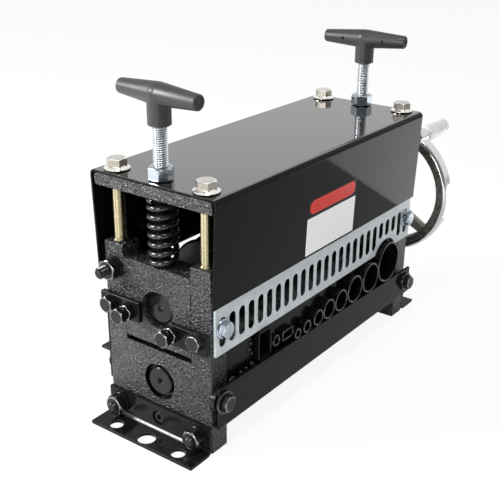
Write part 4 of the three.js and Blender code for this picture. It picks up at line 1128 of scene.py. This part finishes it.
# Floor and light
studio = {
    "floor": 14.0, "floorGlow": 0.9, "floorShine": 0.12, "world": 0.34, "dimSide": 0.2,
    "lamps": {  # place, aim, size, watts, and the turn of a lamp that lies on the floor
        "keyLamp": ((-1.55, 1.6, 1.15), (0, 0, 0.15), (0.8, 0.6), 90.0),
        "topLamp": ((-0.5, -0.4, 1.9), (0, 0, 0.15), (0.7, 0.5), 20.0),
        "leftLamp": ((-2.0, -0.25, 0.6), (-0.1, 0, 0.12), (0.45, 1.0), 22.0),
        "lowLamp": ((0.694, -0.308, 0.004), (0, 0, 0), (0.72, 0.45), 1.9, -61.9),
    },
}


def maths(tree, operation, first, second):
    return wired(tree, "ShaderNodeMath", {0: first, 1: second}, operation=operation).outputs[0]


def rays(tree):  # which rays see a thing directly, and which see it as a reflection
    path = wired(tree, "ShaderNodeLightPath", {}).outputs
    return maths(tree, "MAXIMUM", path["Is Camera Ray"], path["Is Transmission Ray"]), path["Is Glossy Ray"]


def mixed(tree, share, first, second):
    return wired(tree, "ShaderNodeMixShader", {0: share, 1: first.outputs[0], 2: second.outputs[0]})


def paleFloor(size):
    bm = bmesh.new()
    bmesh.ops.create_grid(bm, x_segments=1, y_segments=1, size=size)
    floor = looseObject(bm, "paleFloor")
    material, tree = surface("paleFloor", (0.86, 0.86, 0.86), 0.0, 0.9)
    seen, shiny = rays(tree)
    bright = maths(tree, "MULTIPLY", seen, studio["floorGlow"])
    share = maths(tree, "MAXIMUM", bright, maths(tree, "MULTIPLY", shiny, studio["floorShine"]))
    whole = mixed(tree, share, tree.nodes["Principled BSDF"], wired(tree, "ShaderNodeEmission", {}))
    tree.links.new(whole.outputs[0], tree.nodes["Material Output"].inputs["Surface"])
    floor.data.materials.append(material)


def paleWorld(strength):
    world = bpy.data.worlds.new("studioWorld")
    bpy.context.scene.world = world
    world.use_nodes = True
    tree, white = world.node_tree, (1, 1, 1, 1)
    light, clear = (wired(tree, "ShaderNodeBackground", {0: white, 1: power}) for power in (strength, 1.0))
    place = wired(tree, "ShaderNodeTexCoord", {}).outputs["Generated"]
    side = wired(tree, "ShaderNodeVectorMath", {0: place, 1: (-0.62, -0.66, 0.2)}, operation="DOT_PRODUCT")
    span = {0: side.outputs["Value"], 1: 0.1, 2: 0.8, 3: 1.0, 4: studio["dimSide"]}
    fade = wired(tree, "ShaderNodeMapRange", span, interpolation_type="SMOOTHSTEP")
    tent = wired(tree, "ShaderNodeBackground", {0: white, 1: fade.outputs[0]})
    seen, shiny = rays(tree)
    whole = mixed(tree, seen, mixed(tree, shiny, light, tent), clear)
    tree.links.new(whole.outputs[0], tree.nodes["World Output"].inputs["Surface"])


def softLamp(name, place, aim, size, power, flat=None):
    data = bpy.data.lights.new(name, "AREA")
    data.shape, data.size, data.size_y, data.energy = "RECTANGLE", *size, power
    lamp = bpy.data.objects.new(name, data)
    collection.objects.link(lamp)
    lamp.location = place
    lamp.rotation_mode = "QUATERNION"
    lamp.rotation_quaternion = (Vector(aim) - Vector(place)).to_track_quat("-Z", "Y")
    if flat is not None:
        facingUp = Quaternion((1, 0, 0), math.pi)
        lamp.rotation_quaternion = Matrix.Rotation(math.radians(flat), 3, "Z").to_quaternion() @ facingUp
        lamp.visible_camera = False


paleFloor(studio["floor"])
paleWorld(studio["world"])
for name, lamp in studio["lamps"].items():
    softLamp(name, *lamp)
bpy.context.scene.view_settings.view_transform = "Standard"
print("stage: light set")
